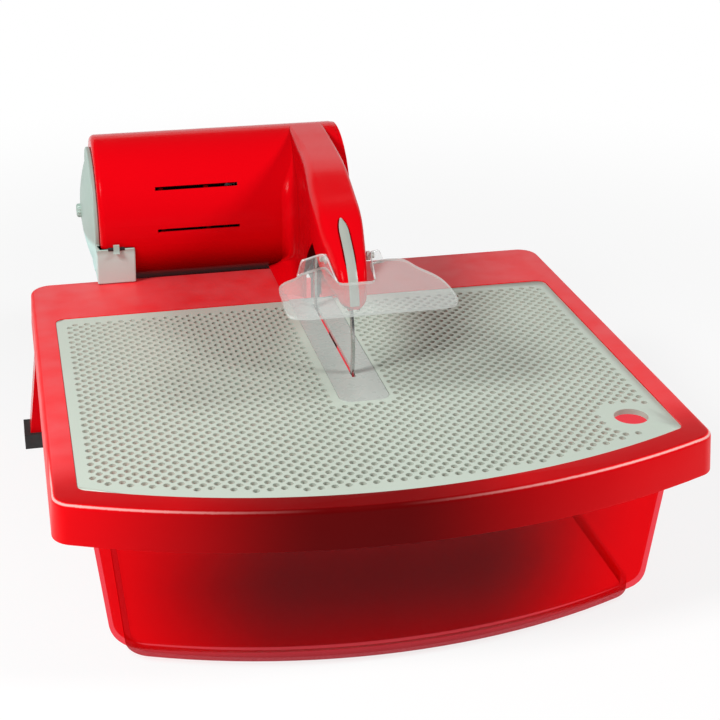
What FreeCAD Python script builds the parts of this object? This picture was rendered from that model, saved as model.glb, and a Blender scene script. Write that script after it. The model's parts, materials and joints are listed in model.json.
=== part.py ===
import FreeCAD, Part
import math
import os
import Sketcher
from types import SimpleNamespace

from FreeCAD import Placement, Rotation, Vector

# Tabletop ring saw for cutting sheet glass under water.  Millimetres, +X right, +Y back, +Z up.
# The origin is on the bench, under the middle of the whole machine.  Plan positions of the table,
# the arm and the ring are measured from the middle of the work grid; the motor's pieces are
# measured from the motor axis.

DIMENSIONS = (
    ("table_centre_y", -62.5, "middle of the work grid, from the middle of the machine"),
    ("table_height", 133.0, "top of the table above the bench"),
    ("fit_gap", 0.3, "loose fit between pieces that lift apart"),
    ("running_gap", 0.05, "radial clearance of a shaft in its bore"),
    # water pan
    ("pan_foot_height", 9.0, "rim under the pan"),
    ("pan_foot_inset", 9.5, "rim inside the pan's floor outline"),
    ("pan_foot_wall", 4.0, "thickness of the rim"),
    ("pan_side_inset", 33.5, "pan's floor inside the bottom of the skirt, at the sides"),
    ("pan_back_inset", 32.0, "the same, at the back"),
    ("pan_corner_inset", 14.0, "the same, at the front corners"),
    ("pan_front_inset", 25.0, "the same, at the bow of the front"),
    ("pan_draft", 5.5, "lean of the pan's walls, degrees"),
    ("pan_wall", 3.0, "thickness of the pan's walls"),
    ("pan_floor", 3.5, "thickness of the pan's floor"),
    ("pan_corner_radius", 27.0, "upright corners of the pan"),
    ("pan_floor_radius", 12.0, "rounding between walls and floor"),
    ("pan_flange", 6.0, "rim round the top of the pan"),
    ("pan_flange_thickness", 3.5, "thickness of that rim"),
    ("plug_height", 40.0, "drain plug above the bench"),
    ("plug_setback", 60.0, "drain plug in front of the grid's middle"),
    ("plug_radius", 9.0, "head of the drain plug"),
    ("plug_thickness", 3.5, "head of the drain plug"),
    ("plug_standoff", 1.5, "head of the drain plug off the wall"),
    # table frame
    ("frame_half_width", 224.0, "bottom of the skirt, middle to side"),
    ("frame_back", 228.0, "middle to back edge"),
    ("frame_corner", 161.0, "middle to front corner"),
    ("frame_front", 210.0, "middle to the bow of the front"),
    ("frame_corner_radius", 17.0, "upright corners of the frame"),
    ("frame_edge_radius", 3.5, "rounding of the top edge"),
    ("skirt_height", 28.0, "depth of the skirt"),
    ("skirt_draft", 3.5, "lean of the skirt, degrees"),
    ("skirt_wall", 3.5, "thickness of the skirt at its bottom edge"),
    ("deck_thickness", 7.0, "thickness of the table's border"),
    # work grid and throat insert
    ("grid_side_border", 19.0, "grid inside the bottom of the skirt, at the sides"),
    ("grid_back_border", 83.0, "the same, at the back"),
    ("grid_corner_border", 16.0, "the same, at the front corners"),
    ("grid_front_border", 20.0, "the same, at the bow of the front"),
    ("grid_corner_radius", 7.0, "corners of the grid"),
    ("grid_thickness", 4.0, "thickness of the grid"),
    ("grid_recess", 0.5, "top of the grid below the top of the frame"),
    ("ledge_width", 8.0, "ledge that carries the grid"),
    ("finger_side", 28.0, "finger hole, in from the side of the grid"),
    ("finger_corner", 24.0, "finger hole, behind the grid's front corner"),
    ("finger_radius", 12.0, "finger hole"),
    ("notch_offset", -0.5, "middle of the throat notch, right of the ring's plane"),
    ("notch_width", 37.0, "width of the throat notch"),
    ("notch_reach", 44.0, "throat notch in front of the ring"),
    ("notch_radius", 9.0, "corners at the notch's front end"),
    ("slot_width", 3.0, "blade slot in the insert"),
    # rear legs
    ("leg_inset", 38.0, "front face of the rear legs, in from the table's back edge"),
    ("leg_depth", 24.0, "front to back"),
    ("leg_thickness", 12.0, "side to side"),
    ("leg_lean", 8.0, "outward lean, degrees"),
    ("foot_height", 13.0, "rubber foot"),
    ("foot_margin", 4.0, "rubber round the leg"),
    ("foot_sole", 4.0, "rubber under the leg"),
    # motor head
    ("motor_setback", 43.0, "motor axis behind the table's back edge"),
    ("motor_clearance", 1.19, "housing clear of the table's top back edge"),
    ("motor_radius", 64.0, "outside of the motor housing"),
    ("motor_wall", 3.0, "thickness of the housing"),
    ("motor_left", 162.0, "left end of the housing, from the middle of the table"),
    ("motor_right", 48.0, "right end of the housing"),
    ("vent_start", 114.0, "left end of the vent slots"),
    ("vent_length", 69.0, "length of a vent slot"),
    ("vent_width", 3.0, "width of a vent slot"),
    ("vent_step", 32.0, "angle between vent slots, degrees"),
    ("vent_angle", -2.0, "angle of the lower vent slot above level, degrees"),
    ("cap_thickness", 3.5, "right end cap"),
    ("cap_ring_width", 14.0, "ring inside the housing that the cap is screwed to"),
    ("cap_screw_inset", 9.0, "cap screws in from the housing's outside"),
    ("bracket_thickness", 4.0, "left end bracket's disc"),
    ("bracket_radius", 54.0, "left end bracket's disc"),
    ("end_ring_width", 16.0, "ring that closes the housing's left end round the bracket"),
    ("dome_radius", 46.0, "edge of the dome on the end bracket"),
    ("dome_rise", 8.0, "rise of that dome"),
    ("knob_radius", 8.0, "knob on the dome"),
    ("knob_length", 6.0, "knob on the dome"),
    ("block_width", 32.0, "foot block of the end bracket"),
    ("block_height", 34.0, "foot block above the table"),
    ("block_depth", 8.5, "slope of the block's front, top to bottom"),
    ("block_length", 26.0, "foot block behind that slope"),
    ("block_rim", 0.5, "foot block in front of the housing"),
    ("latch_inset", 10.0, "latch, from the left end of the housing"),
    ("latch_width", 5.0, "latch"),
    ("latch_thickness", 2.3, "latch, with its gap to the foot block"),
    ("latch_rise", 4.0, "latch above the foot block"),
    ("latch_depth", 4.0, "latch below the top of the foot block"),
    # motor
    ("shaft_radius", 5.0, "motor shaft"),
    ("bearing_radius", 13.0, "outside of the motor bearings"),
    ("bearing_width", 8.0, "motor bearings"),
    ("stator_radius", 38.0, "outside of the stator"),
    ("stator_bore", 24.0, "bore of the stator"),
    ("stator_left", 115.0, "left end of the stator"),
    ("stator_length", 50.0, "length of the stator"),
    ("air_gap", 0.6, "gap between rotor and stator"),
    ("coil_length", 10.0, "end turns of the windings"),
    ("rib_width", 4.0, "ribs that hold the stator"),
    ("bulkhead_left", 6.0, "left face of the bulkhead, left of the table's middle"),
    ("brush_offset", 26.0, "brush plate, left of the stator"),
    ("brush_thickness", 3.0, "brush plate"),
    ("brush_length", 8.0, "brush holders and commutator"),
    ("brush_width", 8.0, "brush holders"),
    ("fan_offset", 12.0, "fan, right of the windings"),
    ("fan_width", 10.0, "hub of the fan"),
    ("fan_disc", 2.0, "disc of the fan"),
    ("fan_blade", 1.6, "thickness of the fan's blades"),
    # belt drive
    ("pulley_radius", 12.0, "both pulleys"),
    ("pulley_width", 8.0, "both pulleys"),
    ("belt_offset", 14.0, "middle of the belt, right of the ring's plane"),
    ("belt_thickness", 2.2, "drive belt"),
    ("belt_width", 7.0, "drive belt"),
    ("drive_radius", 13.7, "rubber grommet that drives the ring"),
    ("drive_width", 4.4, "rubber grommet"),
    ("drive_angle", 25.0, "place of the grommet round the ring, degrees"),
    ("drive_shaft_radius", 4.0, "shaft of the grommet"),
    # ring and its rollers
    ("ring_x", 4.0, "plane of the ring"),
    ("ring_inset", 84.0, "middle of the ring, in front of the grid's back edge"),
    ("ring_rise", 20.0, "middle of the ring above the table"),
    ("ring_radius", 73.0, "outside of the ring"),
    ("ring_band", 6.0, "radial depth of the ring"),
    ("ring_thickness", 2.0, "thickness of the ring"),
    ("roller_radius", 8.0, "bottom of a roller's groove"),
    ("roller_flange", 2.0, "depth of the groove"),
    ("roller_width", 6.0, "width of a roller"),
    ("roller_axle_radius", 2.5, "roller axles"),
    ("upper_roller_angle", 105.0, "place round the ring, degrees"),
    ("lower_roller_angle", -60.0, "place round the ring, degrees"),
    # arm
    ("arm_wall", 2.0, "thickness of the arm's shells"),
    ("cover_offset", 8.5, "joint between the arm and its side cover, right of the ring"),
    ("cover_setback", 46.0, "front edge of the side cover, behind the front of the ring"),
    ("arm_cap", 0.5, "top of the arm above the motor housing"),
    ("arm_crest", 20.0, "flat end of the arm's crown, in front of the motor's axis"),
    ("arm_lift", 0.8, "underside of the arm above the table"),
    ("chassis_offset", 4.5, "left face of the chassis plate, right of the ring's plane"),
    ("chassis_thickness", 3.0, "chassis plate"),
    ("chassis_foot", 95.0, "lower edge of the chassis plate above the bench"),
    ("strip_width", 7.0, "grey strip on the nose"),
    ("strip_thickness", 1.2, "grey strip on the nose"),
    ("strip_offset", 2.5, "middle of the grey strip, right of the ring's plane"),
    ("boss_radius", 5.0, "screw and pin bosses inside the arm"),
    # splash shield
    ("shield_drop", 20.0, "shield below the top of the ring"),
    ("shield_thickness", 2.0, "clear sheet"),
    ("shield_left", 57.0, "left edge, from the ring's plane"),
    ("shield_right", 66.0, "right edge, from the ring's plane"),
    ("shield_front", 60.0, "front edge, in front of the ring"),
    ("shield_back", 38.0, "back edge, behind the front of the ring"),
    ("shield_lip", 13.0, "turned-up back edge"),
    ("shield_corner", 12.0, "rounded corners"),
    ("cutout_left", 15.5, "cut-out round the nose, from the ring's plane"),
    ("cutout_right", 19.0, "cut-out round the nose, from the ring's plane"),
    ("cutout_front", 11.0, "cut-out, in front of the ring"),
    ("pin_radius", 2.0, "shield's hinge pins"),
    ("pin_setback", 31.0, "hinge pins behind the front of the ring"),
    ("pin_rise", 8.0, "hinge pins above the sheet"),
    ("pin_shoulder", 1.5, "shoulder of a hinge pin, wider than the pin"),
    ("pin_end", 1.0, "hinge pin beyond its ear"),
    # small parts
    ("screw_radius", 2.0, "shank of the small screws"),
    ("screw_head_radius", 3.6, "head of the small screws"),
    ("screw_head_height", 2.0, "head of the small screws"),
    ("rocker_width", 13.4, "switch rocker"),
    ("rocker_length", 21.0, "switch rocker"),
    ("rocker_thickness", 3.0, "switch rocker"),
    ("rocker_tilt", 8.0, "switch rocker, degrees either side of level"),
    ("rocker_sink", 1.0, "pivot of the rocker below the end cap's face"),
    ("rocker_pin_radius", 1.2, "pivot of the rocker"),
    ("switch_wall", 2.0, "wall round the rocker, with its gap"),
    ("switch_depth", 18.0, "switch behind the end cap's face"),
    ("switch_setback", 22.4, "switch behind the motor axis"),
    ("gland_inset", 13.0, "cord gland, from the left end of the housing"),
    ("gland_setback", 11.0, "cord gland behind the motor axis"),
    ("gland_radius", 7.0, "cord gland"),
    ("gland_bore", 4.0, "hole for the cord"),
    ("gland_length", 14.0, "cord gland"),
)

doc = FreeCAD.newDocument("ring_saw")
sheet = doc.addObject("Spreadsheet::Sheet", "Sheet")
for row, (alias, value, meaning) in enumerate(DIMENSIONS, start=1):
    sheet.set(f"A{row}", meaning)
    sheet.set(f"B{row}", str(value))
    sheet.setAlias(f"B{row}", alias)
doc.recompute()


class Size:
    """A length or an angle: its present value, and the expression that follows the sheet."""

    def __init__(self, text, value):
        self.text = text
        self.value = value

    def __float__(self):
        return float(self.value)

    def __add__(self, other):
        other = as_size(other)
        return Size(f"({self.text} + {other.text})", self.value + other.value)

    def __sub__(self, other):
        other = as_size(other)
        return Size(f"({self.text} - {other.text})", self.value - other.value)

    def __mul__(self, other):
        other = as_size(other)
        return Size(f"({self.text} * {other.text})", self.value * other.value)

    def __truediv__(self, other):
        other = as_size(other)
        return Size(f"({self.text} / {other.text})", self.value / other.value)

    __radd__ = __add__
    __rmul__ = __mul__

    def __rsub__(self, other):
        return as_size(other) - self

    def __neg__(self):
        return Size(f"(0 - {self.text})", -self.value)


def as_size(value):
    if isinstance(value, Size):
        return value
    return Size(f"({float(value)!r})", float(value))


def sine(angle):
    angle = as_size(angle)
    return Size(f"sin({angle.text} * 1 deg)", math.sin(math.radians(angle.value)))


def cosine(angle):
    angle = as_size(angle)
    return Size(f"cos({angle.text} * 1 deg)", math.cos(math.radians(angle.value)))


def tangent(angle):
    angle = as_size(angle)
    return Size(f"tan({angle.text} * 1 deg)", math.tan(math.radians(angle.value)))


def root(size):
    return Size(f"sqrt({size.text})", math.sqrt(size.value))


S = SimpleNamespace(**{alias: Size(f"Sheet.{alias}", float(sheet.get(alias)))
                       for alias, _, _ in DIMENSIONS})
NODES = {}

# Places that several pieces share.
PAN_TOP = S.table_height - S.deck_thickness - S.fit_gap
PAN_RISE = PAN_TOP - S.pan_foot_height
PAN_SPREAD = PAN_RISE * tangent(S.pan_draft)
DECK_UNDER = S.table_height - S.deck_thickness
SKIRT_BOTTOM = S.table_height - S.skirt_height
GRID_TOP = S.table_height - S.grid_recess
GRID_UNDER = GRID_TOP - S.grid_thickness
GRID_HALF_WIDTH = S.frame_half_width - S.grid_side_border
GRID_BACK = S.frame_back - S.grid_back_border
GRID_CORNER = S.frame_corner - S.grid_corner_border
GRID_FRONT = S.frame_front - S.grid_front_border
MOTOR_Y = S.frame_back + S.motor_setback
MOTOR_REACH = S.motor_radius + S.motor_clearance
MOTOR_RISE = root(MOTOR_REACH * MOTOR_REACH - S.motor_setback * S.motor_setback)
MOTOR_Z = S.table_height + MOTOR_RISE
BORE = S.motor_radius - S.motor_wall
RING_Y = GRID_BACK - S.ring_inset
RING_Z = S.table_height + S.ring_rise
RING_FRONT = RING_Y - S.ring_radius
RING_BACK = RING_Y + S.ring_radius
RING_TOP = S.ring_rise + S.ring_radius
NOTCH_LEFT = S.ring_x + S.notch_offset - S.notch_width / 2
NOTCH_RIGHT = S.ring_x + S.notch_offset + S.notch_width / 2
RING_BORE = S.ring_radius - S.ring_band
DRIVE_REACH = S.ring_radius + S.drive_radius + S.fit_gap
DRIVE_Y = RING_Y + DRIVE_REACH * cosine(S.drive_angle)
DRIVE_Z = RING_Z + DRIVE_REACH * sine(S.drive_angle)
ROLLER_REACH = RING_BORE - S.roller_radius - S.fit_gap
CHASSIS_LEFT = S.ring_x + S.chassis_offset
CHASSIS_RIGHT = CHASSIS_LEFT + S.chassis_thickness
BELT_X = S.ring_x + S.belt_offset
ROLLERS = {
    "upper": (RING_Y + ROLLER_REACH * cosine(S.upper_roller_angle),
              RING_Z + ROLLER_REACH * sine(S.upper_roller_angle)),
    "lower": (RING_Y + ROLLER_REACH * cosine(S.lower_roller_angle),
              RING_Z + ROLLER_REACH * sine(S.lower_roller_angle)),
}
ALONG_X = Rotation(Vector(0, 1, 0), 90)
ALONG_Y = Rotation(Vector(1, 0, 0), -90)
UPRIGHT = Rotation()


# ---------------------------------------------------------------- helpers

def bind(obj, **sizes):
    for name, size in sizes.items():
        obj.setExpression(name.replace("__", "."), as_size(size).text)
    return obj


def place(obj, x=0, y=0, z=0, rotation=UPRIGHT):
    x, y, z = as_size(x), as_size(y), as_size(z)
    obj.Placement = Placement(Vector(x.value, y.value, z.value), rotation)
    return bind(obj, Placement__Base__x=x, Placement__Base__y=y, Placement__Base__z=z)


def wrapped(obj):
    """A box or cylinder has a placement of its own already, so it is moved inside a group."""
    if obj.TypeId in ("Part::Box", "Part::Cylinder", "Part::Feature"):
        return group(obj.Name + "_seated", [obj])
    return obj


def on_table(obj):
    """Moves a piece that is drawn about the middle of the work grid to its place."""
    return place(wrapped(obj), 0, S.table_centre_y, 0)


def on_motor(obj):
    """Moves a piece that is drawn about the motor axis to its place."""
    return place(wrapped(obj), 0, S.table_centre_y + MOTOR_Y, MOTOR_Z)


def node(obj, label):
    obj.Label = label
    NODES[label] = obj
    return obj


def box(name, x0, x1, y0, y1, z0, z1):
    obj = doc.addObject("Part::Box", name)
    bind(obj, Length=as_size(x1) - x0, Width=as_size(y1) - y0, Height=as_size(z1) - z0)
    return place(obj, x0, y0, z0)


def rod(name, x0, x1, radius, y=0, z=0):
    obj = doc.addObject("Part::Cylinder", name)
    bind(obj, Radius=radius, Height=as_size(x1) - x0)
    return place(obj, x0, y, z, ALONG_X)


def post(name, x, y, z0, z1, radius):
    obj = doc.addObject("Part::Cylinder", name)
    bind(obj, Radius=radius, Height=as_size(z1) - z0)
    return place(obj, x, y, z0)


def cut(name, base, tool):
    obj = doc.addObject("Part::Cut", name)
    obj.Base = base
    obj.Tool = tool
    return obj


def common(name, first, second):
    obj = doc.addObject("Part::Common", name)
    obj.Base = first
    obj.Tool = second
    return obj


def join(name, pieces):
    obj = doc.addObject("Part::MultiFuse", name)
    obj.Shapes = pieces
    return obj


def group(name, pieces):
    obj = doc.addObject("Part::Compound", name)
    obj.Links = pieces
    return obj


def tube(name, x0, x1, outer, inner, y=0, z=0):
    margin = 1
    return cut(name, rod(name + "_outside", x0, x1, outer, y, z),
               rod(name + "_bore", as_size(x0) - margin, as_size(x1) + margin, inner, y, z))


def screw(name, x, y, z, length, facing=1):
    """A pan-head screw along X whose head's underside is at x and faces the given way."""
    head_end = as_size(x) + S.screw_head_height * facing
    shank_end = as_size(x) - as_size(length) * facing
    if facing > 0:
        return join(name, [rod(name + "_head", x, head_end, S.screw_head_radius, y, z),
                           rod(name + "_shank", shank_end, x, S.screw_radius, y, z)])
    return join(name, [rod(name + "_head", head_end, x, S.screw_head_radius, y, z),
                       rod(name + "_shank", x, shank_end, S.screw_radius, y, z)])


def new_body(name):
    return doc.addObject("PartDesign::Body", name)


def new_sketch(body, name, plane, height):
    sketch = body.newObject("Sketcher::SketchObject", name)
    origin = [item for item in body.Origin.OriginFeatures if item.Role == plane][0]
    sketch.AttachmentSupport = [(origin, "")]
    sketch.MapMode = "FlatFace"
    sketch.AttachmentOffset = Placement(Vector(0, 0, float(as_size(height))), UPRIGHT)
    bind(sketch, AttachmentOffset__Base__z=height)
    return sketch


def dimension(sketch, *details):
    """Adds a dimension whose last detail is a Size."""
    size = details[-1]
    index = sketch.addConstraint(Sketcher.Constraint(*details[:-1], size.value))
    sketch.setExpression(f"Constraints[{index}]", size.text)


def outline(body, name, height, half_width, back, corner, front):
    """The table's plan: a straight back and sides, and a front that bows out as one arc."""
    sketch = new_sketch(body, name, "XY_Plane", height)
    w, b, c, f = (float(size) for size in (half_width, back, corner, front))
    bow = front - corner
    radius = (half_width * half_width + bow * bow) / (bow * 2)
    reach = math.atan2(w, float(radius) - float(bow))
    circle = Part.Circle(Vector(0, float(radius) - f, 0), Vector(0, 0, 1), float(radius))
    sketch.addGeometry(Part.LineSegment(Vector(-w, b, 0), Vector(w, b, 0)))
    sketch.addGeometry(Part.LineSegment(Vector(w, b, 0), Vector(w, -c, 0)))
    sketch.addGeometry(Part.ArcOfCircle(circle, -math.pi / 2 - reach, -math.pi / 2 + reach))
    sketch.addGeometry(Part.LineSegment(Vector(-w, -c, 0), Vector(-w, b, 0)))
    for joint in ((0, 2, 1, 1), (1, 2, 2, 2), (2, 1, 3, 1), (3, 2, 0, 1)):
        sketch.addConstraint(Sketcher.Constraint("Coincident", *joint))
    sketch.addConstraint(Sketcher.Constraint("Horizontal", 2, 1, 2, 2))
    sketch.addConstraint(Sketcher.Constraint("Vertical", 1))
    sketch.addConstraint(Sketcher.Constraint("Vertical", 3))
    sketch.addConstraint(Sketcher.Constraint("Symmetric", 0, 1, 0, 2, -2))
    dimension(sketch, "DistanceX", 0, 1, 0, 2, half_width * 2)
    dimension(sketch, "DistanceY", -1, 1, 0, 2, back)
    dimension(sketch, "DistanceY", 1, 2, 1, 1, back + corner)
    dimension(sketch, "Radius", 2, radius)
    return sketch


def polygon(body, name, plane, height, points):
    """A closed outline whose corners all follow the sheet."""
    sketch = new_sketch(body, name, plane, height)
    corners = [(as_size(x), as_size(y)) for x, y in points]
    count = len(corners)
    for index in range(count):
        (x0, y0), (x1, y1) = corners[index], corners[(index + 1) % count]
        sketch.addGeometry(Part.LineSegment(Vector(x0.value, y0.value, 0),
                                            Vector(x1.value, y1.value, 0)))
    for index in range(count):
        sketch.addConstraint(Sketcher.Constraint("Coincident", index, 2, (index + 1) % count, 1))
    for index, (x, y) in enumerate(corners):
        dimension(sketch, "DistanceX", -1, 1, index, 1, x)
        dimension(sketch, "DistanceY", -1, 1, index, 1, y)
    return sketch


def pad(body, name, sketch, length, draft=None, down=False):
    obj = body.newObject("PartDesign::Pad", name)
    obj.Profile = sketch
    obj.Reversed = down
    bind(obj, Length=length)
    if draft is not None:
        bind(obj, TaperAngle=draft)
    doc.recompute()
    return obj


def fillet(body, name, feature, radius, test):
    edges = [f"Edge{i}" for i, edge in enumerate(feature.Shape.Edges, start=1) if test(edge)]
    obj = body.newObject("PartDesign::Fillet", name)
    obj.Base = (feature, edges)
    bind(obj, Radius=radius)
    doc.recompute()
    return obj


def upright(low, high):
    """A test for the corner edges that run between two heights."""
    low, high = float(low), float(high)

    def test(edge):
        heights = sorted(vertex.Z for vertex in edge.Vertexes)
        return len(heights) == 2 and abs(heights[0] - low) < 0.01 and abs(heights[1] - high) < 0.01
    return test


def at_height(height):
    """A test for edges that lie at one height."""
    height = float(height)

    def test(edge):
        bounds = edge.BoundBox
        return abs(bounds.ZMin - height) < 0.01 and abs(bounds.ZMax - height) < 0.01
    return test


# ---------------------------------------------------------------- water pan

class Plan:
    """The four sizes of a table outline, which can be drawn in or let out as one."""

    def __init__(self, half_width, back, corner, front):
        self.sizes = (half_width, back, corner, front)

    def inset(self, amount):
        return Plan(*(size - amount for size in self.sizes))


def slab(name, height, thickness, plan, corner_radius, draft=None):
    """A solid of a plan's outline with rounded upright corners."""
    body = new_body(name)
    base = outline(body, name + "_outline", height, *plan.sizes)
    block = pad(body, name + "_pad", base, thickness, draft)
    fillet(body, name + "_corners", block, corner_radius, upright(height, height + thickness))
    return body


PAN_PLAN = Plan(S.frame_half_width - S.pan_side_inset, S.frame_back - S.pan_back_inset,
                S.frame_corner - S.pan_corner_inset, S.frame_front - S.pan_front_inset)
TOP_PLAN = PAN_PLAN.inset(-PAN_SPREAD)


def build_pan():
    floor = S.pan_foot_height
    block = slab("pan_block", floor, PAN_RISE, PAN_PLAN, S.pan_corner_radius, S.pan_draft)
    fillet(block, "pan_floor_edge", block.Tip, S.pan_floor_radius, at_height(floor))
    flange = slab("pan_flange", PAN_TOP - S.pan_flange_thickness, S.pan_flange_thickness,
                  TOP_PLAN.inset(-S.pan_flange), S.pan_corner_radius + S.pan_flange)
    spread = S.pan_floor * tangent(S.pan_draft)
    inner_floor = floor + S.pan_floor
    hollow = slab("pan_hollow", inner_floor, PAN_TOP + 1 - inner_floor,
                  PAN_PLAN.inset(S.pan_wall - spread), S.pan_corner_radius - S.pan_wall,
                  S.pan_draft)
    fillet(hollow, "pan_inner_floor_edge", hollow.Tip, S.pan_floor_radius - S.pan_wall,
           at_height(inner_floor))
    foot_plan = PAN_PLAN.inset(S.pan_foot_inset)
    foot_radius = S.pan_corner_radius - S.pan_foot_inset / 2
    foot = slab("pan_foot", 0, floor + 0.5, foot_plan, foot_radius)
    under = slab("pan_foot_hollow", -1, floor + 1, foot_plan.inset(S.pan_foot_wall),
                 foot_radius - S.pan_foot_wall)
    ring = cut("pan_foot_ring", foot, under)
    return cut("pan_open", join("pan_solid", [block, flange, ring]), hollow)


# The drain hole is in the pan's right wall.  The wall leans, so the plug's places follow the lean.
PLUG_WALL = (S.frame_half_width - S.pan_side_inset
             + (S.plug_height - S.pan_foot_height) * tangent(S.pan_draft))
PLUG_SEAT = PLUG_WALL + S.plug_standoff
plug_bore = rod("drain_bore", PLUG_WALL - S.pan_wall * 3, PLUG_WALL + S.pan_wall * 3,
                S.plug_radius / 2, -S.plug_setback, S.plug_height)
pan = cut("pan_drained", build_pan(), plug_bore)
node(on_table(pan), "water_pan")

plug_head = rod("plug_head", PLUG_SEAT, PLUG_SEAT + S.plug_thickness, S.plug_radius,
                -S.plug_setback, S.plug_height)
plug_stem = rod("plug_stem", PLUG_WALL - S.pan_wall * 2, PLUG_SEAT, S.plug_radius / 2,
                -S.plug_setback, S.plug_height)
node(on_table(join("plug", [plug_head, plug_stem])), "drain_plug")


# ---------------------------------------------------------------- table frame and legs

FRAME_PLAN = Plan(S.frame_half_width, S.frame_back, S.frame_corner, S.frame_front)
GRID_PLAN = Plan(GRID_HALF_WIDTH, GRID_BACK, GRID_CORNER, GRID_FRONT)
LEG_FRONT = S.frame_back - S.leg_inset


def build_frame():
    block = slab("frame_block", SKIRT_BOTTOM, S.skirt_height, FRAME_PLAN, S.frame_corner_radius,
                 -S.skirt_draft)
    fillet(block, "frame_top_edge", block.Tip, S.frame_edge_radius, at_height(S.table_height))
    under = slab("skirt_hollow", SKIRT_BOTTOM - 1, S.skirt_height - S.deck_thickness + 1,
                 FRAME_PLAN.inset(S.skirt_wall), S.frame_corner_radius - S.skirt_wall)
    gap = S.fit_gap
    seat = slab("grid_seat", GRID_UNDER - gap, S.grid_thickness + S.grid_recess + gap + 1,
                GRID_PLAN.inset(-gap), S.grid_corner_radius + gap)
    mouth = slab("frame_opening", SKIRT_BOTTOM - 1, S.skirt_height + 2,
                 GRID_PLAN.inset(S.ledge_width), S.grid_corner_radius)
    notch = box("head_notch", NOTCH_LEFT, NOTCH_RIGHT, GRID_BACK - S.ledge_width * 2,
                S.frame_back + 1, SKIRT_BOTTOM - 1, S.table_height + 1)
    return cut("frame", block, group("frame_cuts", [under, seat, mouth, notch]))


def build_leg(name):
    """One rear leg, drawn on the right: upright inside the skirt, then leaning outwards."""
    body = new_body(name)
    outside = S.frame_half_width - S.skirt_wall - S.fit_gap
    bend = SKIRT_BOTTOM - 2
    spread = (bend - S.foot_sole) * tangent(S.leg_lean)
    inside = outside - S.leg_thickness
    sketch = polygon(body, name + "_outline", "XZ_Plane", -LEG_FRONT, (
        (inside, DECK_UNDER), (outside, DECK_UNDER), (outside, bend),
        (outside + spread, S.foot_sole), (inside + spread, S.foot_sole), (inside, bend)))
    pad(body, name + "_pad", sketch, S.leg_depth, down=True)
    return body


LEG_BOTTOM = (S.frame_half_width - S.skirt_wall - S.fit_gap
              + (SKIRT_BOTTOM - 2 - S.foot_sole) * tangent(S.leg_lean))


def build_foot(name, leg):
    """A rubber cup round the end of a leg."""
    margin = S.foot_margin
    block = box(name + "_block", LEG_BOTTOM - S.leg_thickness - margin, LEG_BOTTOM + margin,
                LEG_FRONT - margin, LEG_FRONT + S.leg_depth + margin, 0, S.foot_height)
    return cut(name + "_cup", block, leg)


def mirrored(name, source):
    obj = doc.addObject("Part::Mirroring", name)
    obj.Source = source
    obj.Base = Vector(0, 0, 0)
    obj.Normal = Vector(1, 0, 0)
    return obj


def drilled_leg(name):
    """A leg with the holes for its two screws, and the screws that go through it."""
    leg = build_leg(name + "_body")
    face = S.frame_half_width - S.skirt_wall - S.fit_gap - S.leg_thickness
    height = (SKIRT_BOTTOM + DECK_UNDER) / 2
    screws = [screw(f"{name}_screw_{i}", face, LEG_FRONT + S.leg_depth * share, height,
                    S.leg_thickness, facing=-1) for i, share in enumerate((0.25, 0.75))]
    return cut(name + "_drilled", leg, group(name + "_tools", screws)), screws


node(on_table(build_frame()), "table_frame")
leg, leg_screws = drilled_leg("leg")
foot = build_foot("foot", leg)
screws = group("leg_screw_pair", leg_screws)
node(on_table(group("right_leg", [leg])), "rear_leg_right")
node(on_table(mirrored("left_leg", leg)), "rear_leg_left")
node(on_table(group("right_foot", [foot])), "leg_foot_right")
node(on_table(mirrored("left_foot", foot)), "leg_foot_left")
node(on_table(group("all_leg_screws", [screws, mirrored("left_screws", screws)])), "leg_screws")


# ---------------------------------------------------------------- work grid and throat insert

def throat(name, height, thickness, inset, back):
    """The throat's plan: straight sides, open at the back, rounded at the front."""
    body = new_body(name)
    left, right = NOTCH_LEFT + inset, NOTCH_RIGHT - inset
    front = RING_FRONT - S.notch_reach + inset
    base = polygon(body, name + "_outline", "XY_Plane", height, (
        (left, front), (right, front), (right, back), (left, back)))
    block = pad(body, name + "_pad", base, thickness)
    corner = upright(height, height + thickness)
    fillet(body, name + "_corners", block, S.notch_radius - inset,
           lambda edge: corner(edge) and abs(edge.BoundBox.YMax - float(front)) < 0.01)
    return body


grid_plate = slab("grid_plate", GRID_UNDER, S.grid_thickness, GRID_PLAN, S.grid_corner_radius)
grid_notch = throat("grid_notch", GRID_UNDER - 1, S.grid_thickness + 2, 0, GRID_BACK + 1)
finger = post("finger_bore", GRID_HALF_WIDTH - S.finger_side, S.finger_corner - GRID_CORNER,
              GRID_UNDER - 1, GRID_TOP + 1, S.finger_radius)
node(on_table(cut("grid", grid_plate, group("grid_cuts", [grid_notch, finger]))), "work_grid")

SLOT_FRONT = RING_FRONT - 2
SLOT_BACK = RING_BACK + 2
INSERT_BACK = GRID_BACK + S.ledge_width / 2
INSERT_PLATE = throat("insert_plate", GRID_UNDER, S.grid_thickness, S.fit_gap, INSERT_BACK)
blade_slot = box("blade_slot", S.ring_x - S.slot_width / 2, S.ring_x + S.slot_width / 2,
                 SLOT_FRONT, SLOT_BACK, GRID_UNDER - 1, GRID_TOP + 1)
node(on_table(cut("insert", INSERT_PLATE, blade_slot)), "throat_insert")


# ---------------------------------------------------------------- motor housing

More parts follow.
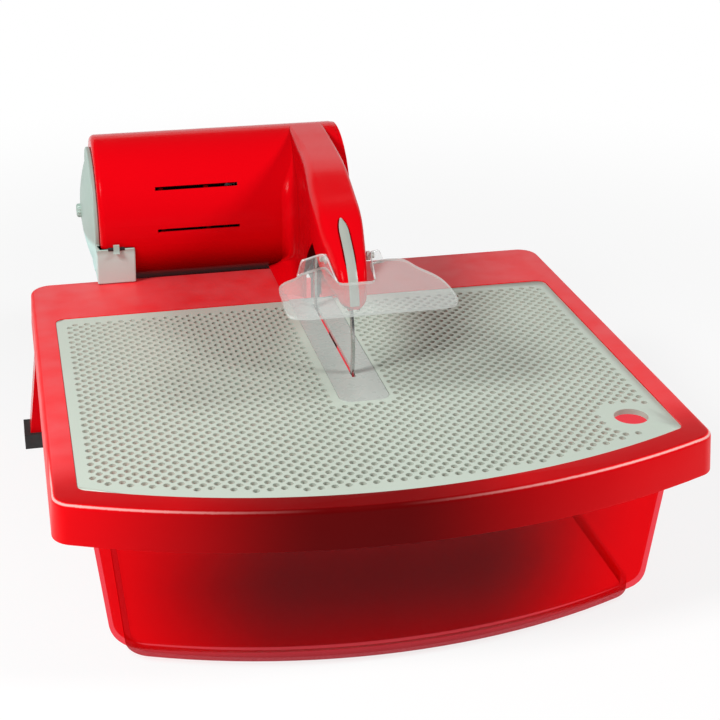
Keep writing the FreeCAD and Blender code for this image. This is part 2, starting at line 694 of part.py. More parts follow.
def vents(name, behind):
    """Boxes that cut two slots through the housing, in front or behind."""
    slots = []
    for i in (0, 1):
        angle = S.vent_angle + S.vent_step * i
        if behind:
            angle = 180 - angle
        reach = S.motor_radius + 2
        half = S.vent_width / 2
        slot = doc.addObject("Part::Box", f"{name}_{i}")
        bind(slot, Length=S.vent_length, Width=S.motor_wall + 5, Height=S.vent_width)
        rotation = Rotation(Vector(1, 0, 0), -float(angle))
        place(slot, -S.vent_start, -(reach * cosine(angle)) - half * sine(angle),
              reach * sine(angle) - half * cosine(angle), rotation)
        bind(slot, Placement__Rotation__Angle=-angle)
        slots.append(slot)
    return slots


def housing_tube():
    """The whole housing: a tube with ribs round the stator and a ring for the end cap."""
    outside = S.motor_radius
    pieces = [tube("housing", -S.motor_left, S.motor_right, outside, BORE)]
    bore = S.stator_radius + S.fit_gap
    ends = (S.stator_left - S.rib_width, S.stator_left - S.stator_length + S.rib_width * 2)
    for i, left in enumerate(ends):
        pieces.append(tube(f"rib_{i}", -left, S.rib_width - left, BORE + 1, bore))
    pieces.append(tube("end_ring", -S.motor_left, S.motor_wall - S.motor_left, BORE + 1,
                       S.motor_radius - S.end_ring_width))
    pieces.append(tube("cap_ring", S.motor_right - S.rib_width, S.motor_right, BORE + 1,
                       S.motor_radius - S.cap_ring_width))
    return join("housing_with_ribs", pieces)


GLAND_X = S.gland_inset - S.motor_left
GLAND_Y = S.gland_setback


def build_shells():
    far = S.motor_radius * 2
    seam = S.fit_gap / 4
    window = box("belt_window", BELT_X - S.pulley_width + 1, BELT_X + S.pulley_width - 1,
                 -far, 0, -S.pulley_radius - 4, S.pulley_radius + 12)
    front_half = box("front_half", -far * 2, far * 2, -far, -seam, -far, far)
    rear_half = box("rear_half", -far * 2, far * 2, seam, far, -far, far)
    gland_hole = post("gland_hole", GLAND_X, GLAND_Y, -far, 0, S.gland_radius)
    slots = vents("front_vent", False) + vents("rear_vent", True)
    tube_cut = cut("housing_vented", housing_tube(), group("housing_openings", slots
                                                           + [window, gland_hole]))
    return common("front_shell", tube_cut, front_half), common("rear_shell", tube_cut, rear_half)


front_shell, rear_shell = build_shells()
node(on_motor(front_shell), "motor_shell_front")
node(on_motor(rear_shell), "motor_shell_rear")

gland = cut("gland", post("gland_outside", GLAND_X, GLAND_Y, -S.motor_radius - S.gland_length / 2,
                          -S.motor_radius + S.gland_length / 2, S.gland_radius),
            post("gland_inside", GLAND_X, GLAND_Y, -S.motor_radius - S.gland_length,
                 -S.motor_radius + S.gland_length, S.gland_bore))
node(on_motor(gland), "cord_gland")


# ---------------------------------------------------------------- end bracket with its foot block

BLOCK_TOP = S.block_height - MOTOR_RISE


def build_bracket():
    left = -S.motor_left - S.bracket_thickness
    disc = rod("bracket_disc", left, -S.motor_left, S.bracket_radius)
    sphere_radius = (S.dome_radius * S.dome_radius + S.dome_rise * S.dome_rise) / (S.dome_rise * 2)
    ball = doc.addObject("Part::Sphere", "dome_ball")
    bind(ball, Radius=sphere_radius)
    place(ball, left - S.dome_rise + sphere_radius, 0, 0)
    dome = common("dome", ball, rod("dome_edge", left - S.dome_rise - 1, left + 1, S.dome_radius))
    hub = rod("bracket_hub", -S.motor_left - 1, -S.motor_left + S.bearing_width + 2,
              S.bearing_radius + 4)
    body = new_body("foot_block_body")
    bottom = S.fit_gap - MOTOR_RISE
    front = -S.motor_radius - S.block_rim
    back = front + S.block_depth + S.block_length
    block_outline = polygon(body, "block_outline", "YZ_Plane", left, (
        (front, BLOCK_TOP), (front + S.block_depth, bottom), (back, bottom), (back, BLOCK_TOP)))
    pad(body, "block_pad", block_outline, S.block_width)
    hug = rod("housing_seat", -S.motor_left, S.motor_right, S.motor_radius + S.fit_gap)
    block = cut("foot_block", body, hug)
    knob_bore = rod("knob_bore", left - S.dome_rise - 2, -S.motor_left + S.bearing_width,
                    S.shaft_radius / 2 + S.running_gap)
    seat = rod("bearing_seat", -S.motor_left + 1, -S.motor_left + S.bearing_width + 3,
               S.bearing_radius)
    return cut("bracket", join("bracket_solid", [disc, dome, hub, block]),
               group("bracket_bores", [knob_bore, seat]))


node(on_motor(build_bracket()), "end_bracket")
DOME_TOP = -S.motor_left - S.bracket_thickness - S.dome_rise
knob = join("knob", [rod("knob_head", DOME_TOP - S.knob_length, DOME_TOP - S.fit_gap,
                         S.knob_radius),
                     rod("knob_stem", DOME_TOP - S.fit_gap, -S.motor_left - 1,
                         S.shaft_radius / 2)])
node(on_motor(knob), "end_knob")

LATCH_LEFT = S.latch_inset - S.motor_left
LATCH_BACK = -S.motor_radius - S.block_rim
latch = box("latch", LATCH_LEFT, LATCH_LEFT + S.latch_width, LATCH_BACK - S.latch_thickness,
            LATCH_BACK - S.fit_gap, BLOCK_TOP - S.latch_depth, BLOCK_TOP + S.latch_rise)
node(on_motor(latch), "latch_tab")


# ---------------------------------------------------------------- right end cap and switch

SWITCH_Y = S.switch_setback
CAP_RIGHT = S.motor_right + S.cap_thickness


def switch_box(name, x0, x1, margin):
    half_width = S.rocker_width / 2 + margin
    half_length = S.rocker_length / 2 + margin
    return box(name, x0, x1, SWITCH_Y - half_width, SWITCH_Y + half_width, -half_length,
               half_length)


def build_cap():
    disc = rod("cap_disc", S.motor_right, CAP_RIGHT, S.motor_radius - 0.5)
    hole = switch_box("switch_hole", S.motor_right - 1, CAP_RIGHT + 1, S.switch_wall)
    screws = []
    for i in range(3):
        angle = 90 + 120 * i
        reach = S.motor_radius - S.cap_screw_inset
        screws.append(screw(f"cap_screw_{i}", CAP_RIGHT, reach * cosine(angle),
                            reach * sine(angle), S.cap_thickness, facing=1))
    screw_group = group("cap_screw_set", screws)
    cap = cut("cap", disc, group("cap_holes", [hole, screw_group]))
    return cap, screw_group


cap, cap_screws = build_cap()
node(on_motor(cap), "right_end_cap")
node(on_motor(group("cap_screws_seated", [cap_screws])), "end_cap_screws")

PIVOT_X = CAP_RIGHT - S.rocker_sink


def pivot(name, radius, end):
    """A rod along Y through the rocker's pivot, as long as the rocker and a bit at each end."""
    obj = doc.addObject("Part::Cylinder", name)
    bind(obj, Radius=radius, Height=S.rocker_width + end * 2)
    return place(obj, PIVOT_X, SWITCH_Y - S.rocker_width / 2 - end, 0, ALONG_Y)


def build_switch():
    """The case with its recess, and the rocker on a pivot whose ends sit in the case."""
    recess = switch_box("switch_recess", CAP_RIGHT - S.switch_depth / 3, CAP_RIGHT + 2,
                        S.fit_gap * 2)
    case = switch_box("switch_case", CAP_RIGHT - S.switch_depth, CAP_RIGHT + 1, S.switch_wall)
    pin_end = S.switch_wall / 2
    bore = pivot("pivot_bore", S.rocker_pin_radius + S.running_gap, pin_end + S.fit_gap)
    plate = doc.addObject("Part::Box", "rocker_plate")
    bind(plate, Length=S.rocker_thickness, Width=S.rocker_width, Height=S.rocker_length)
    half_length, half_thickness = S.rocker_length / 2, S.rocker_thickness / 2
    lean = sine(S.rocker_tilt)
    upright_share = cosine(S.rocker_tilt)
    place(plate, PIVOT_X - half_thickness * upright_share - half_length * lean,
          SWITCH_Y - S.rocker_width / 2,
          half_thickness * lean - half_length * upright_share,
          Rotation(Vector(0, 1, 0), float(S.rocker_tilt)))
    bind(plate, Placement__Rotation__Angle=S.rocker_tilt)
    pin = pivot("rocker_pin", S.rocker_pin_radius, pin_end)
    case = cut("switch", case, group("switch_cuts", [recess, bore]))
    return case, join("rocker", [plate, pin])


switch_case, switch_rocker = build_switch()
node(on_motor(group("switch_seated", [switch_case])), "switch_body")
node(on_motor(group("rocker_seated", [switch_rocker])), "switch_rocker")


# ---------------------------------------------------------------- motor

STATOR_RIGHT = S.stator_length - S.stator_left
ROTOR_RADIUS = S.stator_bore - S.air_gap
SHAFT_BORE = S.shaft_radius + S.running_gap
SHAFT_LEFT = -S.motor_left + 1 + S.fit_gap
BULKHEAD_X = -S.bulkhead_left

node(on_motor(tube("stator", -S.stator_left, STATOR_RIGHT, S.stator_radius, S.stator_bore)),
     "motor_stator")
coils = [tube("left_coil", -S.stator_left - S.coil_length, -S.stator_left,
              S.stator_radius - 3, S.stator_bore + 2),
         tube("right_coil", STATOR_RIGHT, STATOR_RIGHT + S.coil_length, S.stator_radius - 3,
              S.stator_bore + 2)]
node(on_motor(group("coils", coils)), "field_coils")
node(on_motor(tube("left_bearing", -S.motor_left + 1, -S.motor_left + 1 + S.bearing_width,
                   S.bearing_radius, SHAFT_BORE)), "bearing_left")
bulkhead_right = BULKHEAD_X + S.rib_width
bulkhead = tube("bulkhead", BULKHEAD_X, bulkhead_right, BORE, S.bearing_radius)
node(on_motor(bulkhead), "motor_bulkhead")
node(on_motor(tube("right_bearing", BULKHEAD_X - 2, BULKHEAD_X - 2 + S.bearing_width,
                   S.bearing_radius, SHAFT_BORE)), "bearing_right")
plate_left = -S.stator_left - S.brush_offset
brush_left = plate_left + S.brush_thickness
brush_right = brush_left + S.brush_length
brush_half = S.brush_width / 2
brush_tip = S.stator_bore / 2 + S.fit_gap
node(on_motor(tube("brush_ring", plate_left, brush_left, BORE, S.stator_bore)), "brush_plate")
brushes = [box("front_brush", brush_left, brush_right, -S.stator_radius, -brush_tip,
               -brush_half, brush_half),
           box("rear_brush", brush_left, brush_right, brush_tip, S.stator_radius,
               -brush_half, brush_half)]
node(on_motor(group("brushes", brushes)), "brush_holders")

BELT_LEFT = BELT_X - S.pulley_width / 2
BELT_RIGHT = BELT_X + S.pulley_width / 2
shaft_right = BELT_RIGHT + S.rib_width
node(on_motor(rod("shaft", SHAFT_LEFT, shaft_right, S.shaft_radius)), "motor_shaft")
node(on_motor(tube("rotor", -S.stator_left, STATOR_RIGHT, ROTOR_RADIUS, S.shaft_radius)),
     "rotor_core")
windings = [tube("left_winding", -S.stator_left - S.coil_length, -S.stator_left,
                 ROTOR_RADIUS - 6, S.shaft_radius),
            tube("right_winding", STATOR_RIGHT, STATOR_RIGHT + S.coil_length,
                 ROTOR_RADIUS - 6, S.shaft_radius)]
node(on_motor(group("windings", windings)), "armature_windings")
node(on_motor(tube("copper", brush_left, brush_right, S.stator_bore / 2, S.shaft_radius)),
     "commutator")


def build_fan():
    """A hub and a disc with straight blades."""
    left = STATOR_RIGHT + S.coil_length + S.fan_offset
    hub_radius = S.shaft_radius * 2
    hub = rod("fan_hub", left, left + S.fan_width, hub_radius)
    disc = rod("fan_disc", left, left + S.fan_disc, S.stator_radius)
    pieces = [hub, disc]
    blade_count = 8
    for i in range(blade_count):
        angle = 360 / blade_count * i
        blade = doc.addObject("Part::Box", f"fan_blade_{i}")
        inner = hub_radius - 2
        bind(blade, Length=S.fan_width - 1, Width=S.stator_radius - inner - 1,
             Height=S.fan_blade)
        place(blade, left + 1, inner * cosine(angle), inner * sine(angle),
              Rotation(Vector(1, 0, 0), angle))
        pieces.append(blade)
    return cut("fan", join("fan_solid", pieces),
               rod("fan_bore", left - 1, left + S.fan_width + 2, S.shaft_radius))


node(on_motor(build_fan()), "motor_fan")


# ---------------------------------------------------------------- belt drive

node(on_table(tube("big_pulley", BELT_LEFT, BELT_RIGHT, S.pulley_radius, S.shaft_radius,
                   MOTOR_Y, MOTOR_Z)), "motor_pulley")
node(on_table(tube("small_pulley", BELT_LEFT, BELT_RIGHT, S.pulley_radius,
                   S.drive_shaft_radius, DRIVE_Y, DRIVE_Z)), "drive_pulley")


def belt_loop(radius):
    """Everything inside one face of the belt: two discs and the block between them."""
    half = float(S.belt_width) / 2
    left = float(BELT_X) - half
    ends = [Vector(left, float(y), float(z)) for y, z in ((DRIVE_Y, DRIVE_Z), (MOTOR_Y, MOTOR_Z))]
    along = (ends[1] - ends[0])
    side = Vector(1, 0, 0).cross(along)
    side.normalize()
    corners = [ends[0] + side * radius, ends[1] + side * radius, ends[1] - side * radius,
               ends[0] - side * radius]
    face = Part.Face(Part.makePolygon(corners + corners[:1]))
    shape = face.extrude(Vector(2 * half, 0, 0))
    for end in ends:
        shape = shape.fuse(Part.makeCylinder(radius, 2 * half, end, Vector(1, 0, 0)))
    return shape.removeSplitter()


def feature(name, shape):
    """A piece whose shape follows the sheet but that no primitive or sketch can hold."""
    obj = doc.addObject("Part::Feature", name)
    obj.Shape = shape
    return obj


belt_inside = float(S.pulley_radius + S.fit_gap)
belt = belt_loop(belt_inside + float(S.belt_thickness)).cut(belt_loop(belt_inside))
node(on_table(feature("belt", belt)), "drive_belt")

GROMMET_LEFT = S.ring_x - S.drive_width / 2
hub_radius = S.drive_radius - 5
node(on_table(tube("grommet", GROMMET_LEFT, GROMMET_LEFT + S.drive_width, S.drive_radius,
                   hub_radius, DRIVE_Y, DRIVE_Z)), "drive_grommet")
node(on_table(tube("hub", GROMMET_LEFT, GROMMET_LEFT + S.drive_width, hub_radius,
                   S.drive_shaft_radius, DRIVE_Y, DRIVE_Z)), "drive_hub")
node(on_table(rod("drive_spindle", GROMMET_LEFT, BELT_RIGHT + 1, S.drive_shaft_radius,
                  DRIVE_Y, DRIVE_Z)), "drive_shaft")
BUSH_RADIUS = S.drive_shaft_radius + 4
node(on_table(tube("bush", CHASSIS_LEFT - 1, CHASSIS_RIGHT + 1, BUSH_RADIUS,
                   S.drive_shaft_radius + S.running_gap, DRIVE_Y, DRIVE_Z)), "drive_bearing")


# ---------------------------------------------------------------- ring and rollers

ring_left = S.ring_x - S.ring_thickness / 2
node(on_table(tube("ring", ring_left, ring_left + S.ring_thickness, S.ring_radius, RING_BORE,
                   RING_Y, RING_Z)), "ring_blade")


def build_roller(name, y, z):
    """A grooved roller that runs inside the ring."""
    left = S.ring_x - S.roller_width / 2
    groove = S.ring_thickness / 2 + S.fit_gap
    rim = S.roller_radius + S.roller_flange
    solid = rod(name + "_solid", left, left + S.roller_width, rim, y, z)
    grooved = tube(name + "_groove", S.ring_x - groove, S.ring_x + groove, rim + 1,
                   S.roller_radius, y, z)
    bore = rod(name + "_bore", left - 1, left + S.roller_width + 1,
               S.roller_axle_radius + S.running_gap, y, z)
    return cut(name, solid, group(name + "_cuts", [grooved, bore]))


for side, (y, z) in ROLLERS.items():
    node(on_table(build_roller(f"{side}_roller", y, z)), f"guide_roller_{side}")
    axle_left = S.ring_x - S.roller_width / 2 - 1
    axle = rod(f"{side}_axle", axle_left, CHASSIS_RIGHT, S.roller_axle_radius, y, z)
    clip = rod(f"{side}_axle_head", axle_left - 0.8, axle_left + 0.6,
               S.roller_axle_radius + 1, y, z)
    node(on_table(join(f"{side}_pin", [axle, clip])), f"roller_axle_{side}")


# ---------------------------------------------------------------- arm over the ring

ROOF = MOTOR_RISE + S.motor_radius + S.arm_cap
SHOULDER_Y = MOTOR_Y - 71
# The arm's crown and belly, seen from the side: how far behind the grid's middle, and how far
# above the table.  The crown's back end lies on the motor housing.
CROWN = (
    (MOTOR_Y, ROOF), (MOTOR_Y - S.arm_crest, ROOF + S.arm_cap), (MOTOR_Y - 70, ROOF + 1), (RING_BACK - 7, ROOF + 0.5),
    (RING_Y + 20, RING_TOP + 16), (RING_Y - 13, RING_TOP + 11), (RING_FRONT + 35, RING_TOP + 2),
    (RING_FRONT + 7, RING_TOP - 9), (RING_FRONT - 3, RING_TOP - 20))
NOSE_TIP = (RING_FRONT - 8, RING_TOP - 38)
BELLY = (
    (RING_FRONT + 3, RING_TOP - 41), (RING_FRONT + 32, RING_TOP - 31),
    (RING_Y + 6, RING_TOP - 16), (RING_BACK - 14, RING_TOP - 50),
    (RING_BACK + 12.5, RING_TOP - 70))
# The arm's edges, seen from above: how far behind the grid's middle, and how far right of the
# ring's plane.
LEFT_EDGE = (
    (RING_FRONT - 8.5, -3), (RING_FRONT - 6.5, -6), (RING_FRONT - 2.5, -8.8),
    (RING_FRONT + 6, -11), (RING_FRONT + 32, -14), (RING_Y - 14, -15),
    (RING_Y + 34, -12.5), (RING_BACK + 14, -6), (SHOULDER_Y, -1), (MOTOR_Y + 19, 7))
RIGHT_EDGE = (
    (RING_FRONT - 8.5, 6), (RING_FRONT - 6.5, 9), (RING_FRONT - 2.5, 11.5),
    (RING_FRONT + 6, 13.5), (RING_FRONT + 32, 16.5), (RING_Y - 1, 20.5),
    (RING_BACK - 24, 25), (SHOULDER_Y, 32), (MOTOR_Y + 19, 37))
TABLE = float(S.table_height)


def side_point(point):
    y, z = point
    return Vector(0, float(y), TABLE + float(z))


def smooth(points):
    curve = Part.BSplineCurve()
    curve.interpolate(points)
    return curve


def inside(points, depth):
    """The points of a side-view curve, each moved square to the curve towards the arm's inside."""
    curve = smooth(points)
    moved = []
    for point in points:
        tangent_there = curve.tangent(curve.parameter(point))[0]
        moved.append(point + Vector(0, -tangent_there.z, tangent_there.y) * depth)
    return moved


def closed_face(first, corners):
    """A face whose edge is one curve, and then straight lines through the corners."""
    start, end = first.value(first.FirstParameter), first.value(first.LastParameter)
    points = [end] + corners + [start]
    lines = [Part.makeLine(a, b) for a, b in zip(points, points[1:])]
    return Part.Face(Part.Wire([first.toShape()] + lines))


CROWN_CURVE = [side_point(point) for point in CROWN + (NOSE_TIP,)]


def arm_profile():
    """The arm's side view as a face across X."""
    deck = float(S.arm_lift)
    corners = BELLY + ((BELLY[-1][0], deck), (MOTOR_Y, deck))
    return closed_face(smooth(CROWN_CURVE), [side_point(point) for point in corners])


def hollow_profile():
    """The side view of the hollow, which runs out through the belly and the deck."""
    wall = float(S.arm_wall)
    inner = smooth(inside(CROWN_CURVE, wall))
    column = BELLY[-1][0] + wall
    under = ((NOSE_TIP[0] + wall, RING_TOP - 53), (column, RING_TOP - 75), (column, -20),
             (MOTOR_Y, -20))
    return closed_face(inner, [side_point(point) for point in under])


def arm_plan(inset=0.0):
    """The arm's view from above as a face across Z."""
    middle = float(S.ring_x)
    left = [Vector(middle + x + inset, float(y), 0) for y, x in LEFT_EDGE]
    right = [Vector(middle + x - inset, float(y), 0) for y, x in RIGHT_EDGE]
    edges = [smooth(left).toShape(), Part.makeLine(left[-1], right[-1]),
             smooth(right[::-1]).toShape(), Part.makeLine(right[0], left[0])]
    return Part.Face(Part.Wire(edges))


def swept_profile(face):
    return face.translated(Vector(-100, 0, 0)).extrude(Vector(200, 0, 0))


def swept_plan(face):
    return face.extrude(Vector(0, 0, 400))


def arm_solids():
    """The arm's outer solid, and the hollow inside it."""
    outer = swept_profile(arm_profile()).common(swept_plan(arm_plan()))
    hollow = swept_profile(hollow_profile()).common(swept_plan(arm_plan(float(S.arm_wall))))
    return outer, hollow


def bore_x(radius, x0, x1, y, z):
    return Part.makeCylinder(float(radius), float(x1) - float(x0),
                             Vector(float(x0), float(y), float(z)), Vector(1, 0, 0))


def half_space(x0, x1, y0=-400):
    return Part.makeBox(float(x1) - float(x0), 800, 800, Vector(float(x0), float(y0), -100))


# Places on the arm, seen from the side, where the chassis plate is screwed to the arm's left
# shell, and where the side cover plugs onto its pins.
CHASSIS_SCREWS = ((SHOULDER_Y - 15, RING_TOP - 61), (SHOULDER_Y - 13, RING_TOP - 1),
                  (RING_BACK - 42, RING_TOP + 6))
COVER_PINS = ((SHOULDER_Y - 28, RING_TOP - 9), (RING_Y + 13, RING_TOP - 2))
PIN_RADIUS = S.screw_radius + 0.5
COVER_X = S.ring_x + S.cover_offset
COVER_Y = RING_FRONT + S.cover_setback
far_left, far_right = -200, 200
outer_arm, arm_hollow = arm_solids()
housing = bore_x(S.motor_radius + S.fit_gap, far_left, far_right, MOTOR_Y, MOTOR_Z)
shell = outer_arm.cut(arm_hollow)


def boss(radius, x0, x1, point):
    y, z = point
    return bore_x(radius, x0, x1, y, TABLE + float(z))


def cover_space(gap):
    """Where the side cover is: right of one plane, and behind another."""
    return half_space(COVER_X + gap, far_right, COVER_Y + gap)


def build_arm():
    """The nose and the arm's left half, with bosses for the screws of the chassis plate."""
    bosses = [boss(S.boss_radius, -20, CHASSIS_LEFT, point) for point in CHASSIS_SCREWS]
    solid = shell.cut(cover_space(-S.fit_gap / 2))
    solid = solid.fuse([piece.common(outer_arm) for piece in bosses])
    for point in CHASSIS_SCREWS:
        solid = solid.cut(boss(S.screw_radius, CHASSIS_LEFT - 6, CHASSIS_RIGHT, point))
    return solid.cut(housing)


def build_cover():
    """The arm's right half behind the nose, with bosses for its pins."""
    bosses = [boss(S.boss_radius, COVER_X + 4, far_right, point) for point in COVER_PINS]
    solid = shell.common(cover_space(S.fit_gap / 2))
    solid = solid.fuse([piece.common(outer_arm) for piece in bosses])
    for point in COVER_PINS:
        solid = solid.cut(boss(PIN_RADIUS + S.running_gap, 0, COVER_X + 11, point))
    return solid.cut(housing)


arm_shell = feature("arm", build_arm())
ring_cover = feature("cover", build_cover())



def build_chassis():
    """The plate that carries the drive, the rollers and, under the table, the insert."""
    body = new_body("chassis_body")
    table = S.table_height
    foot = S.chassis_foot
    bar = foot + 15
    front, heel = RING_FRONT + 40, SHOULDER_Y - 28
    seat, toe = GRID_UNDER - S.fit_gap, RING_Y + 21
    behind_insert = INSERT_BACK + S.fit_gap
    sketch = polygon(body, "chassis_outline", "YZ_Plane", CHASSIS_LEFT, (
        (front, table + RING_TOP - 26), (front, table + RING_TOP - 13),
        (front + 22, table + RING_TOP + 3), (RING_BACK - 34, table + RING_TOP + 10),
        (SHOULDER_Y, table + RING_TOP + 10), (SHOULDER_Y, table + 8), (heel, table + 8),
        (heel, foot), (toe, foot), (toe, seat), (toe + 16, seat), (toe + 16, bar),
        (behind_insert, bar), (behind_insert, table + RING_TOP - 50),
        (RING_BACK - 14, table + RING_TOP - 42), (RING_Y + 9, table + RING_TOP - 13),
        (front + 18, table + RING_TOP - 22.5)))
    pad(body, "chassis_pad", sketch, S.chassis_thickness)
    left, right = CHASSIS_LEFT - 1, CHASSIS_RIGHT + 1
    holes = [rod("bush_hole", left, right, BUSH_RADIUS, DRIVE_Y, DRIVE_Z)]
    for side, (y, z) in ROLLERS.items():
        holes.append(rod(f"{side}_axle_hole", left, right, S.roller_axle_radius, y, z))
    for i, (y, z) in enumerate(CHASSIS_SCREWS):
        holes.append(rod(f"screw_hole_{i}", left, right, S.screw_radius, y, table + z))
    for i, (y, z) in enumerate(COVER_PINS):
        holes.append(rod(f"pin_hole_{i}", left, right, PIN_RADIUS, y, table + z))
    return cut("chassis", body, group("chassis_holes", holes))


node(on_table(build_chassis()), "chassis_plate")
node(on_table(group("chassis_screw_set", [
    screw(f"chassis_screw_{i}", CHASSIS_RIGHT, y, S.table_height + z, S.chassis_thickness + 6)
    for i, (y, z) in enumerate(CHASSIS_SCREWS)])), "chassis_screws")
node(on_table(group("cover_pin_set", [
    rod(f"cover_pin_{i}", CHASSIS_LEFT, COVER_X + 10, PIN_RADIUS, y, S.table_height + z)
    for i, (y, z) in enumerate(COVER_PINS)])), "cover_pins")


def build_strip():
    """The grey strip: a lens shape seen square to the nose, wrapped over the arm's crown."""
    lifted = inside(CROWN_CURVE, -float(S.strip_thickness))
    band = closed_face(smooth(CROWN_CURVE), [])
    band = swept_profile(closed_face(smooth(lifted), [])).cut(swept_profile(band))
    half = float(S.strip_width) / 2
    middle_x = float(S.ring_x + S.strip_offset)
    start = side_point((RING_FRONT + 48, RING_TOP + 8))
    end = side_point((RING_FRONT - 8, RING_TOP - 33))
    along = end - start
    length = along.Length
    along.normalize()
    normal = Vector(0, along.z, -along.y)
    centre = start + along * (length / 2) + Vector(middle_x, 0, 0)
    sideways = Vector(1, 0, 0)
    tips = [centre - along * (length / 2), centre + along * (length / 2)]
    bows = [centre + sideways * half, centre - sideways * half]
    lens = Part.Face(Part.Wire([Part.Arc(tips[0], bows[0], tips[1]).toShape(),
                                Part.Arc(tips[1], bows[1], tips[0]).toShape()]))
    block = lens.translated(normal * -6).extrude(normal * 40)
    return band.common(block)


node(on_table(feature("strip", build_strip())), "nose_strip")


# ---------------------------------------------------------------- splash shield

SHIELD_UNDER = S.table_height + RING_TOP - S.shield_drop
PIN_Y = RING_FRONT + S.pin_setback
PIN_Z = SHIELD_UNDER + S.pin_rise
CUTOUT_LEFT = S.ring_x - S.cutout_left
CUTOUT_RIGHT = S.ring_x + S.cutout_right


def build_shield():
    """A clear sheet round the nose, with a turned-up back edge and two hinge ears."""
    top = SHIELD_UNDER + S.shield_thickness
    lip_top = SHIELD_UNDER + S.shield_lip
    body = new_body("shield_body")
    left, right = S.ring_x - S.shield_left, S.ring_x + S.shield_right
    front, back = RING_FRONT - S.shield_front, RING_FRONT + S.shield_back
    cut_front = RING_FRONT - S.cutout_front
    lip_width = 15
    sheet_outline = polygon(body, "shield_outline", "XY_Plane", SHIELD_UNDER, (
        (left, front + 4), (right - 8, front - 5), (right, front + 14), (right, RING_FRONT - 1),
        (right - 9, RING_FRONT + 13), (right - 27, back - 3), (CUTOUT_RIGHT, back),
        (CUTOUT_RIGHT, cut_front), (CUTOUT_LEFT, cut_front),
        (CUTOUT_LEFT, back), (CUTOUT_LEFT - lip_width, back), (left + 3, RING_FRONT + 7)))
    sheet_pad = pad(body, "shield_pad", sheet_outline, S.shield_thickness)
    corner = upright(SHIELD_UNDER, top)
    rim = float(front) + 20
    fillet(body, "shield_corners", sheet_pad, S.shield_corner,
           lambda edge: corner(edge) and edge.BoundBox.YMax < rim)
    lip_front = back - S.shield_thickness
    ear_front = PIN_Y - 6
    lips = [
        box("left_lip", CUTOUT_LEFT - lip_width, CUTOUT_LEFT, lip_front, back,
            SHIELD_UNDER, lip_top),
        box("right_lip", CUTOUT_RIGHT, CUTOUT_RIGHT + lip_width, lip_front, back,
            SHIELD_UNDER, lip_top),
        box("left_ear", CUTOUT_LEFT - S.shield_thickness, CUTOUT_LEFT, ear_front, back,
            SHIELD_UNDER, lip_top),
        box("right_ear", CUTOUT_RIGHT, CUTOUT_RIGHT + S.shield_thickness, ear_front, back,
            SHIELD_UNDER, lip_top),
    ]
    bore = rod("pin_bore", far_left, far_right, S.pin_radius + S.running_gap, PIN_Y, PIN_Z)
    return cut("shield", join("shield_solid", [body] + lips), bore)


node(on_table(build_shield()), "splash_shield")


def build_pins():
    """Two hinge pins, one from each side of the arm, with a shoulder that holds off the ear."""
    pins = []
    for ear, way in ((CUTOUT_LEFT, -1), (CUTOUT_RIGHT, 1)):
        outer = float(ear + (S.shield_thickness + S.pin_end) * way)
        shoulder_end = float(ear - S.fit_gap * way)
        inner = float(S.ring_x)
        pin = bore_x(S.pin_radius, *sorted((outer, inner)), PIN_Y, PIN_Z)
        shoulder = bore_x(S.pin_radius + S.pin_shoulder, *sorted((shoulder_end, inner)),
                          PIN_Y, PIN_Z)
        pins.append(pin.fuse(shoulder).cut(outer_arm))
    return Part.makeCompound([solid for pin in pins for solid in pin.Solids])


node(on_table(feature("pins", build_pins())), "shield_pins")
node(on_table(arm_shell), "arm_shell")
node(on_table(ring_cover), "ring_cover")


# ---------------------------------------------------------------- hand-in

def check_all():
    doc.recompute()
    for obj in doc.Objects:
        if "Invalid" in obj.State or "Error" in obj.State:
            raise RuntimeError(f"{obj.Name} did not build")
    for label, obj in NODES.items():
        if obj.Shape.isNull() or not obj.Shape.isValid():
            raise RuntimeError(f"{label} has no valid shape")


check_all()
os.makedirs("parts", exist_ok=True)
for label, obj in sorted(NODES.items()):
    obj.Shape.exportStep(f"parts/{label}.step")
    bounds = obj.Shape.BoundBox
    print(f"{label}: {len(obj.Shape.Solids)} solids, {obj.Shape.Volume / 1000:.1f} cm3, "
          f"y {bounds.YMin:.1f} to {bounds.YMax:.1f}, z {bounds.ZMin:.1f} to {bounds.ZMax:.1f}")
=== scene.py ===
# %% [markdown]
# # A tabletop ring saw for stained glass
# The saw has a red water pan, a red table frame with a perforated grid, and a motor head whose arm
# reaches over a thin ring blade. The measured model comes first. Every place below is worked out
# from its pieces, so the dressed pieces land where the measured ones are. All lengths are metres.

# %% Load the measured model
import json
import math

